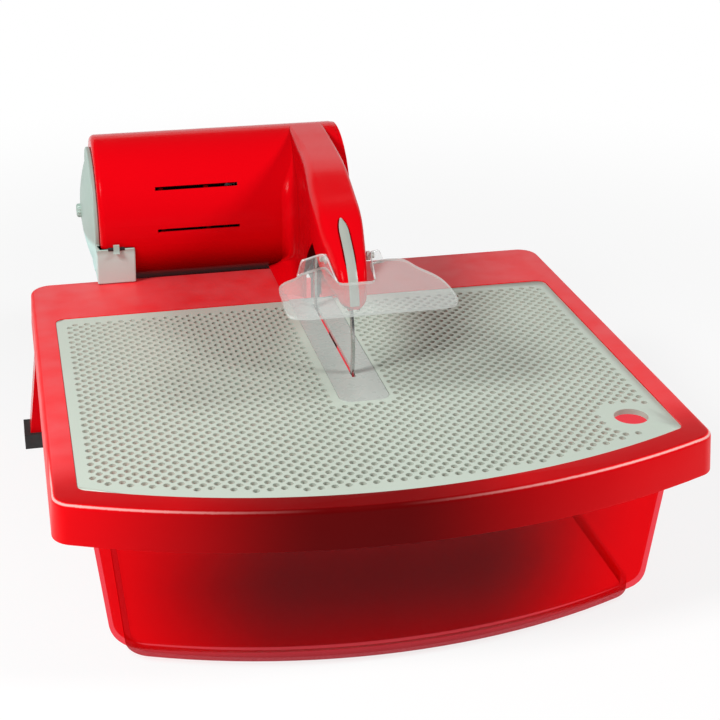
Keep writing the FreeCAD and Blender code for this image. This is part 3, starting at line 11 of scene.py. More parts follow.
import bmesh
import bpy
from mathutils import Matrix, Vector

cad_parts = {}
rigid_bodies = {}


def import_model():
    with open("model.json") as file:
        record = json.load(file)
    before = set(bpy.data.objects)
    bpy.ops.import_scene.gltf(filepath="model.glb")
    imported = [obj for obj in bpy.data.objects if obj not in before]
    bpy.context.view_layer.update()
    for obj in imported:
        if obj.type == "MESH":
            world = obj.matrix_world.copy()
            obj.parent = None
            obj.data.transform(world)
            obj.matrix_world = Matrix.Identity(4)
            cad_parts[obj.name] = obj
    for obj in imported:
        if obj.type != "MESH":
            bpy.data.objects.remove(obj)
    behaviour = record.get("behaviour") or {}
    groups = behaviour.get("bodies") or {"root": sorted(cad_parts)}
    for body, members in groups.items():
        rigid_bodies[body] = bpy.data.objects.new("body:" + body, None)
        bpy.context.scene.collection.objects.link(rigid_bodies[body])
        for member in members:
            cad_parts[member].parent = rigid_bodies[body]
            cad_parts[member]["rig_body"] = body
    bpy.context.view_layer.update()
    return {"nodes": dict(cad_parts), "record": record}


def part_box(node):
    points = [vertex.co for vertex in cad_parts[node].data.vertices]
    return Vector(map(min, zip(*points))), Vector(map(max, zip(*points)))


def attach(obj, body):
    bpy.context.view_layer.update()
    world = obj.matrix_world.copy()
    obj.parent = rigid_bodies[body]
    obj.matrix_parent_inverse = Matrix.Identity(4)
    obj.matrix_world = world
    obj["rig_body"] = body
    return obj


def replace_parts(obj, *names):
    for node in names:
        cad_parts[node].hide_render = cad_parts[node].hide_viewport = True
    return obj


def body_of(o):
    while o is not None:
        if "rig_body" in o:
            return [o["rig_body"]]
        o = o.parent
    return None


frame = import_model()
MM = 0.001
scene = bpy.context.scene

# %% [markdown]
# ## The camera
# A product shot of a bench tool looks down on it from the front, a little from one side. The camera
# stands over a metre away with a long lens, which keeps the table's edges nearly parallel. Its turn
# is set by two angles and its place from the grid's height, so each is easy to change.

# %% Camera
GRID_LOW, GRID_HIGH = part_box("work_grid")
TURN = math.radians(-12.57)
LOOK_DOWN = math.radians(23.74)

camera = bpy.data.objects.new("camera", bpy.data.cameras.new("camera"))
scene.collection.objects.link(camera)
scene.camera = camera
camera.data.lens = 77.25
camera.data.shift_x = 0.0169
forward = Vector((-math.sin(TURN) * math.cos(LOOK_DOWN), math.cos(TURN) * math.cos(LOOK_DOWN),
                  -math.sin(LOOK_DOWN)))
camera.rotation_euler = forward.to_track_quat("-Z", "Y").to_euler()
camera.location = (-0.2259, -1.0853, GRID_HIGH.z + 0.4685)
camera.data.clip_start = 0.05
print("camera:", [round(v, 3) for v in camera.location], "grid top:", round(GRID_HIGH.z, 4))

# %% [markdown]
# ## Small helpers for node trees
# Materials, the world and the grid's drill are all node trees, and a tree built line by line gets
# long. These few functions each add one node and hand back its output, so that the steps below read
# almost like formulas. The ramp is the most used: it fades one thing in along another.

# %% Helpers for node trees
def feed(tree, node, inputs):
    """Gives each named input its number or colour, or links a socket to it."""
    for key, value in inputs.items():
        if isinstance(value, bpy.types.NodeSocket):
            tree.links.new(value, node.inputs[key])
        else:
            node.inputs[key].default_value = value


def add(tree, kind, inputs=None, **settings):
    """A new node with its settings and inputs."""
    node = tree.nodes.new(kind)
    for name, value in settings.items():
        setattr(node, name, value)
    feed(tree, node, inputs or {})
    return node


def add_math(tree, operation, a, b=0.5):
    """A math node. Some operations have no use for b, which then stays at Blender's 0.5."""
    return add(tree, "ShaderNodeMath", {0: a, 1: b}, operation=operation).outputs[0]


def product(tree, first, *others):
    for other in others:
        first = add_math(tree, "MULTIPLY", first, other)
    return first


def largest(tree, first, *others):
    for other in others:
        first = add_math(tree, "MAXIMUM", first, other)
    return first


def rest_of(tree, share):
    """What is left of 1."""
    return add_math(tree, "SUBTRACT", 1.0, share)


def ramp(tree, value, start, end, low=0.0, high=1.0, curve="SMOOTHSTEP"):
    """Follows a value from start to end with a curve from low to high."""
    limits = {"From Min": start, "From Max": end, "To Min": low, "To Max": high}
    return add(tree, "ShaderNodeMapRange", {"Value": value, **limits},
               interpolation_type=curve).outputs["Result"]


def coordinate(tree, output):
    return add(tree, "ShaderNodeTexCoord").outputs[output]


def axes_of(tree, output):
    """The three parts of a texture coordinate."""
    return add(tree, "ShaderNodeSeparateXYZ", {0: coordinate(tree, output)}).outputs


def noise(tree, vector, scale, detail):
    return add(tree, "ShaderNodeTexNoise",
               {"Vector": vector, "Scale": scale, "Detail": detail}).outputs["Fac"]


# %% [markdown]
# ## The floor
# A white sweep gives a catalogue background. The floor is a white paint that keeps the saw's soft
# shadow, mixed with a glow of its own where the camera looks straight at it, through the pan, or at
# its reflection. The glow grows with the distance, so the shadow stays near the saw and the far
# floor fades into the backdrop.

# %% Floor
FLOOR_SIZE = 14.0
bpy.ops.mesh.primitive_plane_add(size=FLOOR_SIZE, location=(0, 0, 0))
floor = bpy.context.object
floor.name = "floor"

NEAR_WHITE, FAR_WHITE = 0.80, 1.0
NEAR, FAR = 0.35, 1.3
sweep = bpy.data.materials.new("white_sweep")
sweep.use_nodes = True
tree = sweep.node_tree
tree.nodes.clear()
paint = add(tree, "ShaderNodeBsdfDiffuse", {"Color": (0.95, 0.95, 0.95, 1)}).outputs[0]
glow = add(tree, "ShaderNodeEmission", {"Color": (1, 1, 1, 1)}).outputs[0]
path = add(tree, "ShaderNodeLightPath").outputs
seen = largest(tree, path["Is Camera Ray"], path["Is Glossy Ray"], path["Is Transmission Ray"])
distance = add(tree, "ShaderNodeVectorMath", {0: coordinate(tree, "Object")}, operation="LENGTH")
white = ramp(tree, distance.outputs["Value"], NEAR, FAR, NEAR_WHITE, FAR_WHITE)
mix = add(tree, "ShaderNodeMixShader", {0: product(tree, seen, white), 1: paint, 2: glow})
add(tree, "ShaderNodeOutputMaterial", {"Surface": mix.outputs[0]})
floor.data.materials.append(sweep)
print("floor:", FLOOR_SIZE, "m, white from", NEAR_WHITE, "to", FAR_WHITE)

# %% [markdown]
# ## The sky
# The backdrop is white to the camera, but dim as a light, so the lamps model the shapes. Reflections
# see one white screen low behind the saw. Level tops mirror it as a pale sheen, while fronts and
# slopes look past it and keep their own colour.

# %% Sky
SKY = 0.12
world = bpy.data.worlds.new("studio")
scene.world = world
world.use_nodes = True
tree = world.node_tree
tree.nodes.clear()
toward = axes_of(tree, "Generated")
behind = ramp(tree, toward["Y"], 0.15, 0.50)
low = ramp(tree, toward["Z"], 0.46, 0.40)
screen = largest(tree, product(tree, behind, low), SKY)
path = add(tree, "ShaderNodeLightPath").outputs
direct = largest(tree, path["Is Camera Ray"], path["Is Transmission Ray"])
mirrored = product(tree, path["Is Glossy Ray"], screen)
scattered = product(tree, path["Is Diffuse Ray"], SKY)
sky = add(tree, "ShaderNodeBackground", {"Strength": largest(tree, direct, mirrored, scattered)})
add(tree, "ShaderNodeOutputWorld", {"Surface": sky.outputs[0]})
print("sky strength:", SKY)

# %% [markdown]
# ## The lamps
# Two small square lamps stand left and right of the camera, about 42 degrees up. They sit well to
# the side, so the housing, which lies square to the camera, mirrors neither of them and shows its
# own red. The left one is the stronger, so the arm's shadow falls on the grid's right half.

# %% Lamps
def lamp_at(name, direction, distance, size, watts):
    """A square lamp in one direction from the work grid, turned to it."""
    lamp = bpy.data.lights.new(name, "AREA")
    lamp.size = size
    lamp.energy = watts
    holder = bpy.data.objects.new(name, lamp)
    scene.collection.objects.link(holder)
    away = Vector(direction).normalized()
    holder.location = Vector((0, -0.05, GRID_HIGH.z)) + away * distance
    holder.rotation_euler = away.to_track_quat("Z", "Y").to_euler()


lamp_at("left_lamp", (-1.00, -0.48, 1.0), distance=1.45, size=0.40, watts=19)
lamp_at("right_lamp", (1.00, -0.52, 1.0), distance=1.60, size=0.34, watts=13)
scene.view_settings.view_transform = "Standard"

# %% [markdown]
# ## Finishes
# Nearly every piece is a moulding or a turned part, so one recipe serves them all. The surface
# pattern is read in the object's own coordinates. A slow noise shifts the colour a little, a second
# one changes how sharply the surface reflects, and a fine one gives the tiny dents that every
# moulded, cast or rolled surface has. Numbers that are the same all over stay on the shader itself.

# %% The recipe for a finish
FINISHES = {}


def finish(name, colour, rough, shift, patch, grain, dent, stretch=(1, 1, 1), **shader):
    """A Principled material with colour patches, uneven gloss and a fine bumpy grain."""
    material = bpy.data.materials.new(name)
    material.use_nodes = True
    tree, body = shader_of(material)
    spot = add(tree, "ShaderNodeMapping",
               {"Vector": coordinate(tree, "Object"), "Scale": stretch}).outputs[0]
    darker = (*[c * (1 - shift) for c in colour], 1)
    lighter = (*[min(1, c * (1 + shift)) for c in colour], 1)
    gloss = ramp(tree, noise(tree, spot, patch * 5, 4), 0.3, 0.7, *rough, "LINEAR")
    bump = add(tree, "ShaderNodeBump", {"Strength": dent, "Distance": 0.1 * MM,
                                        "Height": noise(tree, spot, grain, 2)})
    feed(tree, body, {"Base Color": blend(tree, noise(tree, spot, patch, 3), darker, lighter),
                      "Roughness": gloss, "Normal": bump.outputs[0], **shader})
    FINISHES[name] = material
    print("finish:", name)
    return material


def shader_of(material):
    """The node tree of a material and its shader."""
    return material.node_tree, material.node_tree.nodes["Principled BSDF"]


def blend(tree, share, a, b):
    """A colour between two."""
    inputs = {"Factor": share, "A": a, "B": b}
    return add(tree, "ShaderNodeMix", inputs, data_type="RGBA").outputs["Result"]


def tint_over(material, factor, colour):
    """Mixes a colour over what feeds the base colour so far."""
    tree, body = shader_of(material)
    base = body.inputs["Base Color"].links[0].from_socket
    feed(tree, body, {"Base Color": blend(tree, factor, base, (*colour, 1))})


# %% [markdown]
# Glossy red ABS covers the frame, the housing and the arm. It is a saturated red with a clear,
# sharp reflection, a very slight orange-peel ripple from the mould, and hardly any patchiness. Seen
# head-on it hardly reflects at all, and the pale sheen only comes in where it is seen at a slant.
# The housing's underside and the arm's inner side lie in a corner that little light gets into, so
# a painted shade deepens their red a little further.

# %% Red shell
PAINTED_SHADE_RED = (0.02, 0.001, 0.001)


def slant_sheen(material, most):
    """Little reflection where a surface is seen head-on, more at a slant, and none underneath."""
    tree, body = shader_of(material)
    tilt = add(tree, "ShaderNodeLayerWeight", {"Blend": 0.5})
    sheen = ramp(tree, tilt.outputs["Facing"], 0.15, 0.66, 0.12, most)
    under = ramp(tree, axes_of(tree, "Normal")["Z"], -0.2, -0.85)
    feed(tree, body, {"Specular IOR Level": product(tree, sheen, rest_of(tree, under))})
    return under


red_shell = finish("red_shell", (0.74, 0.001, 0.005), rough=(0.14, 0.24), shift=0.05, patch=9,
                   grain=260, dent=0.03, IOR=1.21)
under = slant_sheen(red_shell, 0.36)
tree = red_shell.node_tree
spot = axes_of(tree, "Object")
facing_left = ramp(tree, axes_of(tree, "Normal")["X"], -0.55, -0.95)
beside = product(tree, facing_left, ramp(tree, spot["X"], -0.12, -0.08),
                 ramp(tree, spot["Y"], -0.03, 0.05, 0.0, 0.36))
# Painted shade: the underside and the arm's inner side are mixed towards a deep red.
tint_over(red_shell, largest(tree, beside, product(tree, under, 0.9)), PAINTED_SHADE_RED)

# %% [markdown]
# The frame is the same plastic. Its level top gets a painted sheen, a pale pink in patches, except
# along the front, where a painted shade darkens the level strip instead. The bowed front's middle
# gets a painted shade, a deep red between two bright ends. The rounded rim gets a painted
# highlight everywhere but in that shaded middle.

# %% Red frame: painted front shade, painted top sheen and a painted rim highlight
PAINTED_SHEEN_PINK, PAINTED_RIM_HIGHLIGHT = (0.80, 0.105, 0.115), (1.0, 0.62, 0.58)


def front_shade(tree, middle, start, end):
    """1 in the middle of the front, falling to 0 towards its two ends and behind it."""
    spot = axes_of(tree, "Object")
    aside = add_math(tree, "ABSOLUTE", add_math(tree, "SUBTRACT", spot["X"], middle))
    return product(tree, ramp(tree, aside, end, start), ramp(tree, spot["Y"], -0.08, -0.16))


red_frame = finish("red_frame", (0.88, 0.001, 0.005), rough=(0.34, 0.46), shift=0.05, patch=9,
                   grain=260, dent=0.04, IOR=1.30)
slant_sheen(red_frame, 0.5)
tree = red_frame.node_tree
spot, facing = axes_of(tree, "Object"), axes_of(tree, "Normal")
level = ramp(tree, facing["Z"], 0.93, 0.995)
# Painted shade: the middle of the bowed front and the level strip along the front turn deep red.
shade = front_shade(tree, -0.035, 0.02, 0.215)
behind_front_strip = ramp(tree, spot["Y"], -0.215, -0.15)
front_strip_shade = product(tree, level, rest_of(tree, behind_front_strip), 0.44)
dark = largest(tree, product(tree, shade, ramp(tree, level, 0, 1, 0.88, 0.80)), front_strip_shade)
tint_over(red_frame, dark, PAINTED_SHADE_RED)
# Painted sheen: the level top behind the front strip turns pale pink in patches.
sheen_patches = noise(tree, coordinate(tree, "Object"), 38, 6)
tint_over(red_frame, product(tree, level, sheen_patches, behind_front_strip), PAINTED_SHEEN_PINK)
# Painted highlight: the rim's rounded bends turn pale, except in the front's shaded middle.
rim = product(tree, ramp(tree, facing["Z"], 0.50, 0.68), ramp(tree, facing["Z"], 0.93, 0.80),
              rest_of(tree, shade), ramp(tree, spot["Y"], -0.15, -0.20), 0.75)
tint_over(red_frame, rim, PAINTED_RIM_HIGHLIGHT)

# %% [markdown]
# The pan is the same red, but translucent. Each wall lets part of the light straight through,
# tinted red, scatters part of it on to the other side, and reflects the rest. So the corners glow
# where light comes through the side wall. The front's middle gets a painted shade under the table's
# edge, for the shaded inside behind it, and so does the foot rim, whose walls stand close.

# %% Translucent red pan
SEE_THROUGH, GLOW_THROUGH = 0.96, 0.45
pan_red = finish("pan_red", (0.42, 0.003, 0.007), rough=(0.24, 0.36), shift=0.08, patch=6,
                 grain=300, dent=0.03, IOR=1.22)
tree, body = shader_of(pan_red)
height = axes_of(tree, "Object")["Z"]
# Painted shade: the front's middle and the foot rim turn dark and let less light through.
shade = front_shade(tree, -0.012, 0.06, 0.19)
foot = ramp(tree, height, 0.009, 0.003, 0.0, 0.35)
dim = largest(tree, product(tree, shade, ramp(tree, height, 0.002, 0.07, 0.22, 0.60)), foot)
tint_over(pan_red, largest(tree, shade, foot), (0.10, 0.001, 0.003))
scatter = add(tree, "ShaderNodeBsdfTranslucent", {"Color": (0.62, 0.004, 0.010, 1)}).outputs[0]
clear = add(tree, "ShaderNodeBsdfTransparent", {"Color": (0.99, 0.27, 0.31, 1)}).outputs[0]
glowing = product(tree, rest_of(tree, shade), GLOW_THROUGH)
wall = add(tree, "ShaderNodeMixShader", {0: glowing, 1: body.outputs[0], 2: scatter}).outputs[0]
open_share = product(tree, rest_of(tree, dim), SEE_THROUGH)
whole = add(tree, "ShaderNodeMixShader", {0: open_share, 1: wall, 2: clear}).outputs[0]
feed(tree, tree.nodes["Material Output"], {"Surface": whole})

# %% [markdown]
# The work grid, the end bracket and the strip on the nose are a pale green-grey moulding with a
# satin surface, the finish that glass crumbs and wet hands scratch least visibly. The bracket is
# greener, and its foot block down by the table is paler than its round plate.

# %% Pale grey mouldings
finish("grey_plastic", (0.54, 0.61, 0.53), rough=(0.36, 0.50), shift=0.05, patch=11, grain=1200,
       dent=0.06)
bracket_grey = finish("bracket_grey", (0.38, 0.50, 0.44), rough=(0.32, 0.46), shift=0.05,
                      patch=11, grain=1200, dent=0.06)
tree = bracket_grey.node_tree
foot_block = ramp(tree, axes_of(tree, "Object")["Z"], 0.168, 0.160)
tint_over(bracket_grey, foot_block, (0.60, 0.93, 0.86))
finish("inlay_grey", (0.40, 0.43, 0.38), rough=(0.30, 0.42), shift=0.06, patch=20, grain=1300,
       dent=0.06)

# %% [markdown]
# The rest are everyday materials. Rubber is rough and nearly black. Metals are told apart by their
# colour, and by their pattern, which is stretched along the way each was turned, rolled or wound.

# %% Rubber, metals and the plain mouldings
EVEN = (1, 1, 1)
for name, colour, rough, shift, patch, grain, dent, stretch, metallic in (
        ("rubber", (0.022, 0.021, 0.021), (0.6, 0.8), 0.25, 40, 1500, 0.25, EVEN, 0),
        ("black_plastic", (0.02, 0.02, 0.022), (0.35, 0.5), 0.2, 30, 1400, 0.12, EVEN, 0),
        ("white_plastic", (0.80, 0.79, 0.74), (0.35, 0.45), 0.04, 30, 900, 0.05, EVEN, 0),
        ("steel", (0.58, 0.58, 0.57), (0.18, 0.34), 0.1, 30, 1600, 0.1, (0.05, 1, 1), 1),
        ("zinc", (0.66, 0.67, 0.64), (0.28, 0.42), 0.12, 60, 900, 0.1, EVEN, 1),
        ("aluminium", (0.70, 0.71, 0.72), (0.25, 0.42), 0.08, 20, 1300, 0.12, (1, 0.08, 1), 1),
        ("copper", (0.62, 0.26, 0.12), (0.25, 0.4), 0.2, 60, 700, 0.3, (1, 0.2, 0.2), 1),
        ("laminations", (0.19, 0.19, 0.21), (0.35, 0.55), 0.2, 40, 1200, 0.5, (1, 0.05, 0.05),
         0.9)):
    finish(name, colour, rough, shift, patch, grain, dent, stretch, Metallic=metallic)

# %% [markdown]
# The splash shield is a clear sheet. What one sees of such a thin sheet is a faint pale veil, its
# reflections, and its cut edges, which gather light and look nearly white. That edge light is a
# painted highlight: the edges let less through and show more of the pale colour. The normal in
# object coordinates tells the edges from the faces. The throat insert is a milky sheet of the same
# kind.

# %% Clear sheet and milky insert
def sheet_finish(name, colour, level_alpha, upright_alpha, **shader):
    """A finish that lets a different share through on level faces and on upright ones."""
    tree, body = shader_of(finish(name, colour, shift=0.03, **shader))
    level = add_math(tree, "ABSOLUTE", axes_of(tree, "Normal")["Z"])
    # Painted highlight: the cut edges are made more opaque in the pale colour.
    alpha = ramp(tree, level, 0.2, 0.9, upright_alpha, level_alpha, "LINEAR")
    feed(tree, body, {"Alpha": alpha})


sheet_finish("clear_plastic", (0.72, 0.76, 0.73), 0.27, 0.60, rough=(0.05, 0.10), patch=20,
             grain=300, dent=0.01)
sheet_finish("clear_lip", (0.80, 0.84, 0.82), 0.80, 0.16, rough=(0.05, 0.10), patch=20, grain=300,
             dent=0.01)
sheet_finish("insert_plastic", (0.52, 0.57, 0.53), 0.86, 0.92, rough=(0.22, 0.36), patch=25,
             grain=900, dent=0.03)
print("finishes:", len(FINISHES))

# %% [markdown]
# Each measured piece names the finish it has on the real saw. Giving all of them theirs now means
# that a piece which needs no better shape is already done. The plate inside the arm gets black
# instead of its own metal, as a painted shade, so the gap beside the arm looks hollow.

# %% Give every measured piece its finish
SLOT = {part["node"]: part["material_slot"] for part in frame["record"]["subparts"]}
# Painted shade: the chassis plate is black rather than its metal.
SLOT["chassis_plate"] = "black_plastic"
for node, piece in frame["nodes"].items():
    piece.data.materials.clear()
    piece.data.materials.append(FINISHES[SLOT[node]])
print("pieces with a finish:", len(SLOT))

# %% [markdown]
# ## Clean copies of the measured pieces
# A measured piece is a bag of loose triangles. For the large visible pieces a copy is merged, its
# flat faces are joined, its curves are shaded smooth, and its sharp edges get the small rounding
# that every moulding has. The copy then stands for the measured piece. The helpers for this serve
# the pieces further down as well.

# %% Merge, smooth and place a mesh
WELD = 0.004 * MM


def merged(node, join_flat=False):
    """A copy of a measured piece's mesh, with its loose triangles joined."""
    mesh = frame["nodes"][node].data.copy()
    bm = bmesh.new()
    bm.from_mesh(mesh)
    bmesh.ops.remove_doubles(bm, verts=bm.verts, dist=WELD)
    if join_flat:
        bmesh.ops.dissolve_limit(bm, angle_limit=math.radians(0.6), verts=bm.verts,
                                 edges=bm.edges)
    bmesh.ops.recalc_face_normals(bm, faces=bm.faces)
    bm.to_mesh(mesh)
    bm.free()
    return mesh


def smooth(mesh, angle):
    """Smooth shading, with edges sharper than the angle kept sharp."""
    for face in mesh.polygons:
        face.use_smooth = True
    mesh.set_sharp_from_angle(angle=math.radians(angle))


def new_piece(name, mesh, finish_name, body):
    """A piece of one finish that rides on a body."""
    piece = bpy.data.objects.new(name, mesh)
    scene.collection.objects.link(piece)
    mesh.materials.clear()
    mesh.materials.append(FINISHES[finish_name])
    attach(piece, body)
    return piece


def bevel(piece, width, segments, **settings):
    """A modifier that rounds edges."""
    rounding = piece.modifiers.new("rounding", "BEVEL")
    rounding.width = width
    rounding.segments = segments
    for name, value in settings.items():
        setattr(rounding, name, value)


# %% [markdown]
# The housing's left end is turned over with a larger radius than its other edges. A bevel can be
# told by a weight which edges to take. The ones wanted here join two points that lie at the left
# end and at the full radius.

# %% Mark the round edge at the housing's left end
def weigh_left_edge(mesh):
    start = min(v.co.x for v in mesh.vertices)
    ends = [v for v in mesh.vertices if v.co.x < start + 0.1 * MM]
    low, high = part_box("motor_shell_front")[0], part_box("motor_shell_rear")[1]
    middle = ((low + high) / 2).yz
    radius = max((v.co.yz - middle).length for v in ends)
    outer = {v.index for v in ends if (v.co.yz - middle).length > radius - 0.3 * MM}
    weights = mesh.attributes.new("bevel_weight_edge", "FLOAT", "EDGE")
    for edge in mesh.edges:
        weights.data[edge.index].value = float(all(i in outer for i in edge.vertices))


# %% [markdown]
# Each piece has its own rounding in millimetres, from the thin ring's 0.3 to the bracket's 1.2. The
# frame, the bracket and the latch now take the shades that were made for them.

# %% The dressed copies
SLOT.update(table_frame="red_frame", end_bracket="bracket_grey", latch_tab="bracket_grey")
ROUNDINGS = dict(
    water_pan=0, table_frame=0.6, motor_shell_front=0.6, motor_shell_rear=0.6, end_bracket=1.2,
    right_end_cap=0.8, rear_leg_left=1.2, rear_leg_right=1.2, leg_foot_left=0, leg_foot_right=0,
    throat_insert=0.3, latch_tab=0.3, ring_blade=0.3)

for node, rounding in ROUNDINGS.items():
    mesh = merged(node, join_flat=True)
    smooth(mesh, 32)
    body = body_of(frame["nodes"][node])
    piece = new_piece("dressed_" + node, mesh, SLOT[node],
                      body[0] if isinstance(body, (list, tuple)) else body)
    if node.startswith("motor_shell"):
        weigh_left_edge(mesh)
        bevel(piece, 4.5 * MM, 5, limit_method="WEIGHT", use_clamp_overlap=False)
    if rounding:
        bevel(piece, rounding * MM, 2, limit_method="ANGLE", angle_limit=math.radians(50),
              harden_normals=True, use_clamp_overlap=node != "end_bracket")
    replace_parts(piece, node)
    print(piece.name, len(mesh.polygons))

# %% [markdown]
# ## The work grid
# The grid's holes stand in staggered rows over the whole plate, apart from a plain border, a plain
# ring round the finger hole and a margin along the throat. That is a job for Geometry Nodes: a
# lattice of points, a few rules that delete points, a drill on each point that is left, and one
# difference from the plate. The rules use the plate's own outline, so the border stays even. All
# sizes are inputs of the tree, so the pattern can be changed without touching its nodes.

# %% The tree and its inputs
CORNER_DEPTH = 45 * MM
THROAT_MARGIN = 5 * MM
grid_front_corner = GRID_LOW.y + CORNER_DEPTH
insert_low, insert_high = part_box("throat_insert")
tree = bpy.data.node_groups.new("drilled_plate", "GeometryNodeTree")


def node_input(name, kind, value=None):
    """A new input. Its identifier is how a modifier finds it."""
    socket = tree.interface.new_socket(name, in_out="INPUT", socket_type="NodeSocket" + kind)
    if value is not None:
        socket.default_value = value
    return socket.identifier


node_input("Plate", "Geometry")
for name, value in (
        ("Hole radius", 2.5 * MM), ("Column step", 4.53 * MM), ("Row step", 4.95 * MM),
        ("Half width", GRID_HIGH.x), ("Back", GRID_HIGH.y), ("Front corner", grid_front_corner),
        ("Front bow", GRID_LOW.y), ("Border", 9.2 * MM), ("Finger x", GRID_HIGH.x - 28 * MM),
        ("Finger y", grid_front_corner + 24 * MM), ("Boss", 23 * MM),
        ("Throat left", insert_low.x - THROAT_MARGIN),
        ("Throat right", insert_high.x + THROAT_MARGIN),
        ("Throat front", insert_low.y - THROAT_MARGIN),
        ("Middle height", (GRID_LOW.z + GRID_HIGH.z) / 2)):
    node_input(name, "Float", value)
material_key = node_input("Material", "Material")
tree.interface.new_socket("Result", in_out="OUTPUT", socket_type="NodeSocketGeometry")
given = add(tree, "NodeGroupInput").outputs

# %% [markdown]
# A flat mesh grid gives a point for every column and row. Its points are numbered down one column
# after the other, so a point's number tells where it stands. Every second one is dropped, like one
# colour of a chessboard, and that staggers the rows.

# %% A staggered lattice of points
COLUMNS, ROWS = 93, 71


def formula(operation, a, b=0.5):
    """A math node of this tree."""
    return add_math(tree, operation, a, b)


lattice = add(tree, "GeometryNodeMeshGrid", {
    "Vertices X": COLUMNS, "Size X": formula("MULTIPLY", given["Column step"], COLUMNS - 1),
    "Vertices Y": ROWS, "Size Y": formula("MULTIPLY", given["Row step"], ROWS - 1)})
middle_y = formula("MULTIPLY", formula("ADD", given["Back"], given["Front bow"]), 0.5)
shift = add(tree, "ShaderNodeCombineXYZ", {"Y": middle_y, "Z": given["Middle height"]})
placed = add(tree, "GeometryNodeTransform", {"Geometry": lattice.outputs["Mesh"],
                                             "Translation": shift.outputs[0]})
index = add(tree, "GeometryNodeInputIndex").outputs[0]
column = formula("FLOOR", formula("DIVIDE", formula("ADD", index, 0.5), ROWS))
row = formula("SUBTRACT", index, formula("MULTIPLY", column, ROWS))
odd = formula("GREATER_THAN", formula("MODULO", formula("ADD", column, row), 2), 0.5)

# %% [markdown]
# Three more rules drop the points of the border, of the boss round the finger hole and of the
# throat. The plate's front is bowed like a parabola, so the gap to it is measured from the bow's
# place at the point's own x.

# %% Rules that drop points
position = add(tree, "GeometryNodeInputPosition").outputs[0]
axes = add(tree, "ShaderNodeSeparateXYZ", {0: position}).outputs
x, y = axes["X"], axes["Y"]
share = formula("DIVIDE", x, given["Half width"])
bow = formula("SUBTRACT", given["Front corner"], given["Front bow"])
front_here = formula("ADD", given["Front bow"], product(tree, share, share, bow))
side_gap = formula("SUBTRACT", given["Half width"], formula("ABSOLUTE", x))
back_gap = formula("SUBTRACT", given["Back"], y)
front_gap = formula("SUBTRACT", y, front_here)
edge_gap = formula("MINIMUM", formula("MINIMUM", side_gap, back_gap), front_gap)
in_border = formula("LESS_THAN", edge_gap, given["Border"])
across = formula("SUBTRACT", x, given["Finger x"])
along = formula("SUBTRACT", y, given["Finger y"])
reach = formula("SQRT", formula("ADD", product(tree, across, across),
                                product(tree, along, along)))
in_boss = formula("LESS_THAN", reach, given["Boss"])
in_throat = product(tree, formula("GREATER_THAN", x, given["Throat left"]),
                    formula("LESS_THAN", x, given["Throat right"]),
                    formula("GREATER_THAN", y, given["Throat front"]))
dropped = largest(tree, odd, in_border, in_boss, in_throat)
kept = add(tree, "GeometryNodeDeleteGeometry",
           {"Geometry": placed.outputs[0], "Selection": dropped}, domain="POINT")

# %% [markdown]
# A ten-sided drill stands on every point that is left. It is longer than the plate is thick, so it
# cuts clean through. The last two nodes make the result real and give it its finish.

# %% A drill on each point, and the difference
drill = add(tree, "GeometryNodeMeshCylinder", {"Vertices": 10, "Depth": 12 * MM,
                                               "Radius": given["Hole radius"]})
copies = add(tree, "GeometryNodeInstanceOnPoints", {"Points": kept.outputs[0],
                                                    "Instance": drill.outputs["Mesh"]})
drills = add(tree, "GeometryNodeRealizeInstances", {0: copies.outputs[0]})
cut = add(tree, "GeometryNodeMeshBoolean", {"Mesh 1": given["Plate"], "Mesh 2": drills.outputs[0]},
          operation="DIFFERENCE", solver="MANIFOLD")
real = add(tree, "GeometryNodeRealizeInstances", {0: cut.outputs["Mesh"]})
painted = add(tree, "GeometryNodeSetMaterial", {"Geometry": real.outputs[0],
                                                "Material": given["Material"]})
add(tree, "NodeGroupOutput", {"Result": painted.outputs[0]})
print("nodes of the tree:", len(tree.nodes))

# %% [markdown]
# The tree runs on a merged copy of the measured plate, because a difference needs a closed shape.
# Its result is kept as a plain mesh, so the heavy cut is worked out only once.

# %% Drill the plate
def plain_mesh(piece, name):
    """The piece's evaluated shape as a mesh of its own. The piece is then taken away."""
    graph = bpy.context.evaluated_depsgraph_get()
    graph.update()
    mesh = bpy.data.meshes.new_from_object(piece.evaluated_get(graph), depsgraph=graph)
    mesh.name = name
    bpy.data.objects.remove(piece)
    return mesh


blank = bpy.data.objects.new("grid_blank", merged("work_grid"))
scene.collection.objects.link(blank)
drilling = blank.modifiers.new("drilling", "NODES")
drilling.node_group = tree
drilling[material_key] = FINISHES["grey_plastic"]
grid_mesh = plain_mesh(blank, "perforated_grid")
smooth(grid_mesh, 40)
perforated_grid = new_piece("perforated_grid", grid_mesh, "grey_plastic", "grid")
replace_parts(perforated_grid, "work_grid")
print("grid faces:", len(grid_mesh.polygons), "vertices:", len(grid_mesh.vertices))

# %% [markdown]
# ## The arm over the ring
# The arm is one smooth hood: a crown that runs from the housing's top down to the nose, two side
# walls, and soft radii where they meet. Its left wall flares out into the housing, so the two look
# like one moulding. A flat-sided measured solid can't show that, so the hood is swept here from
# cross-sections. Each section's four limits are read off the measured arm, by cutting its edges
# with a plane at that depth.

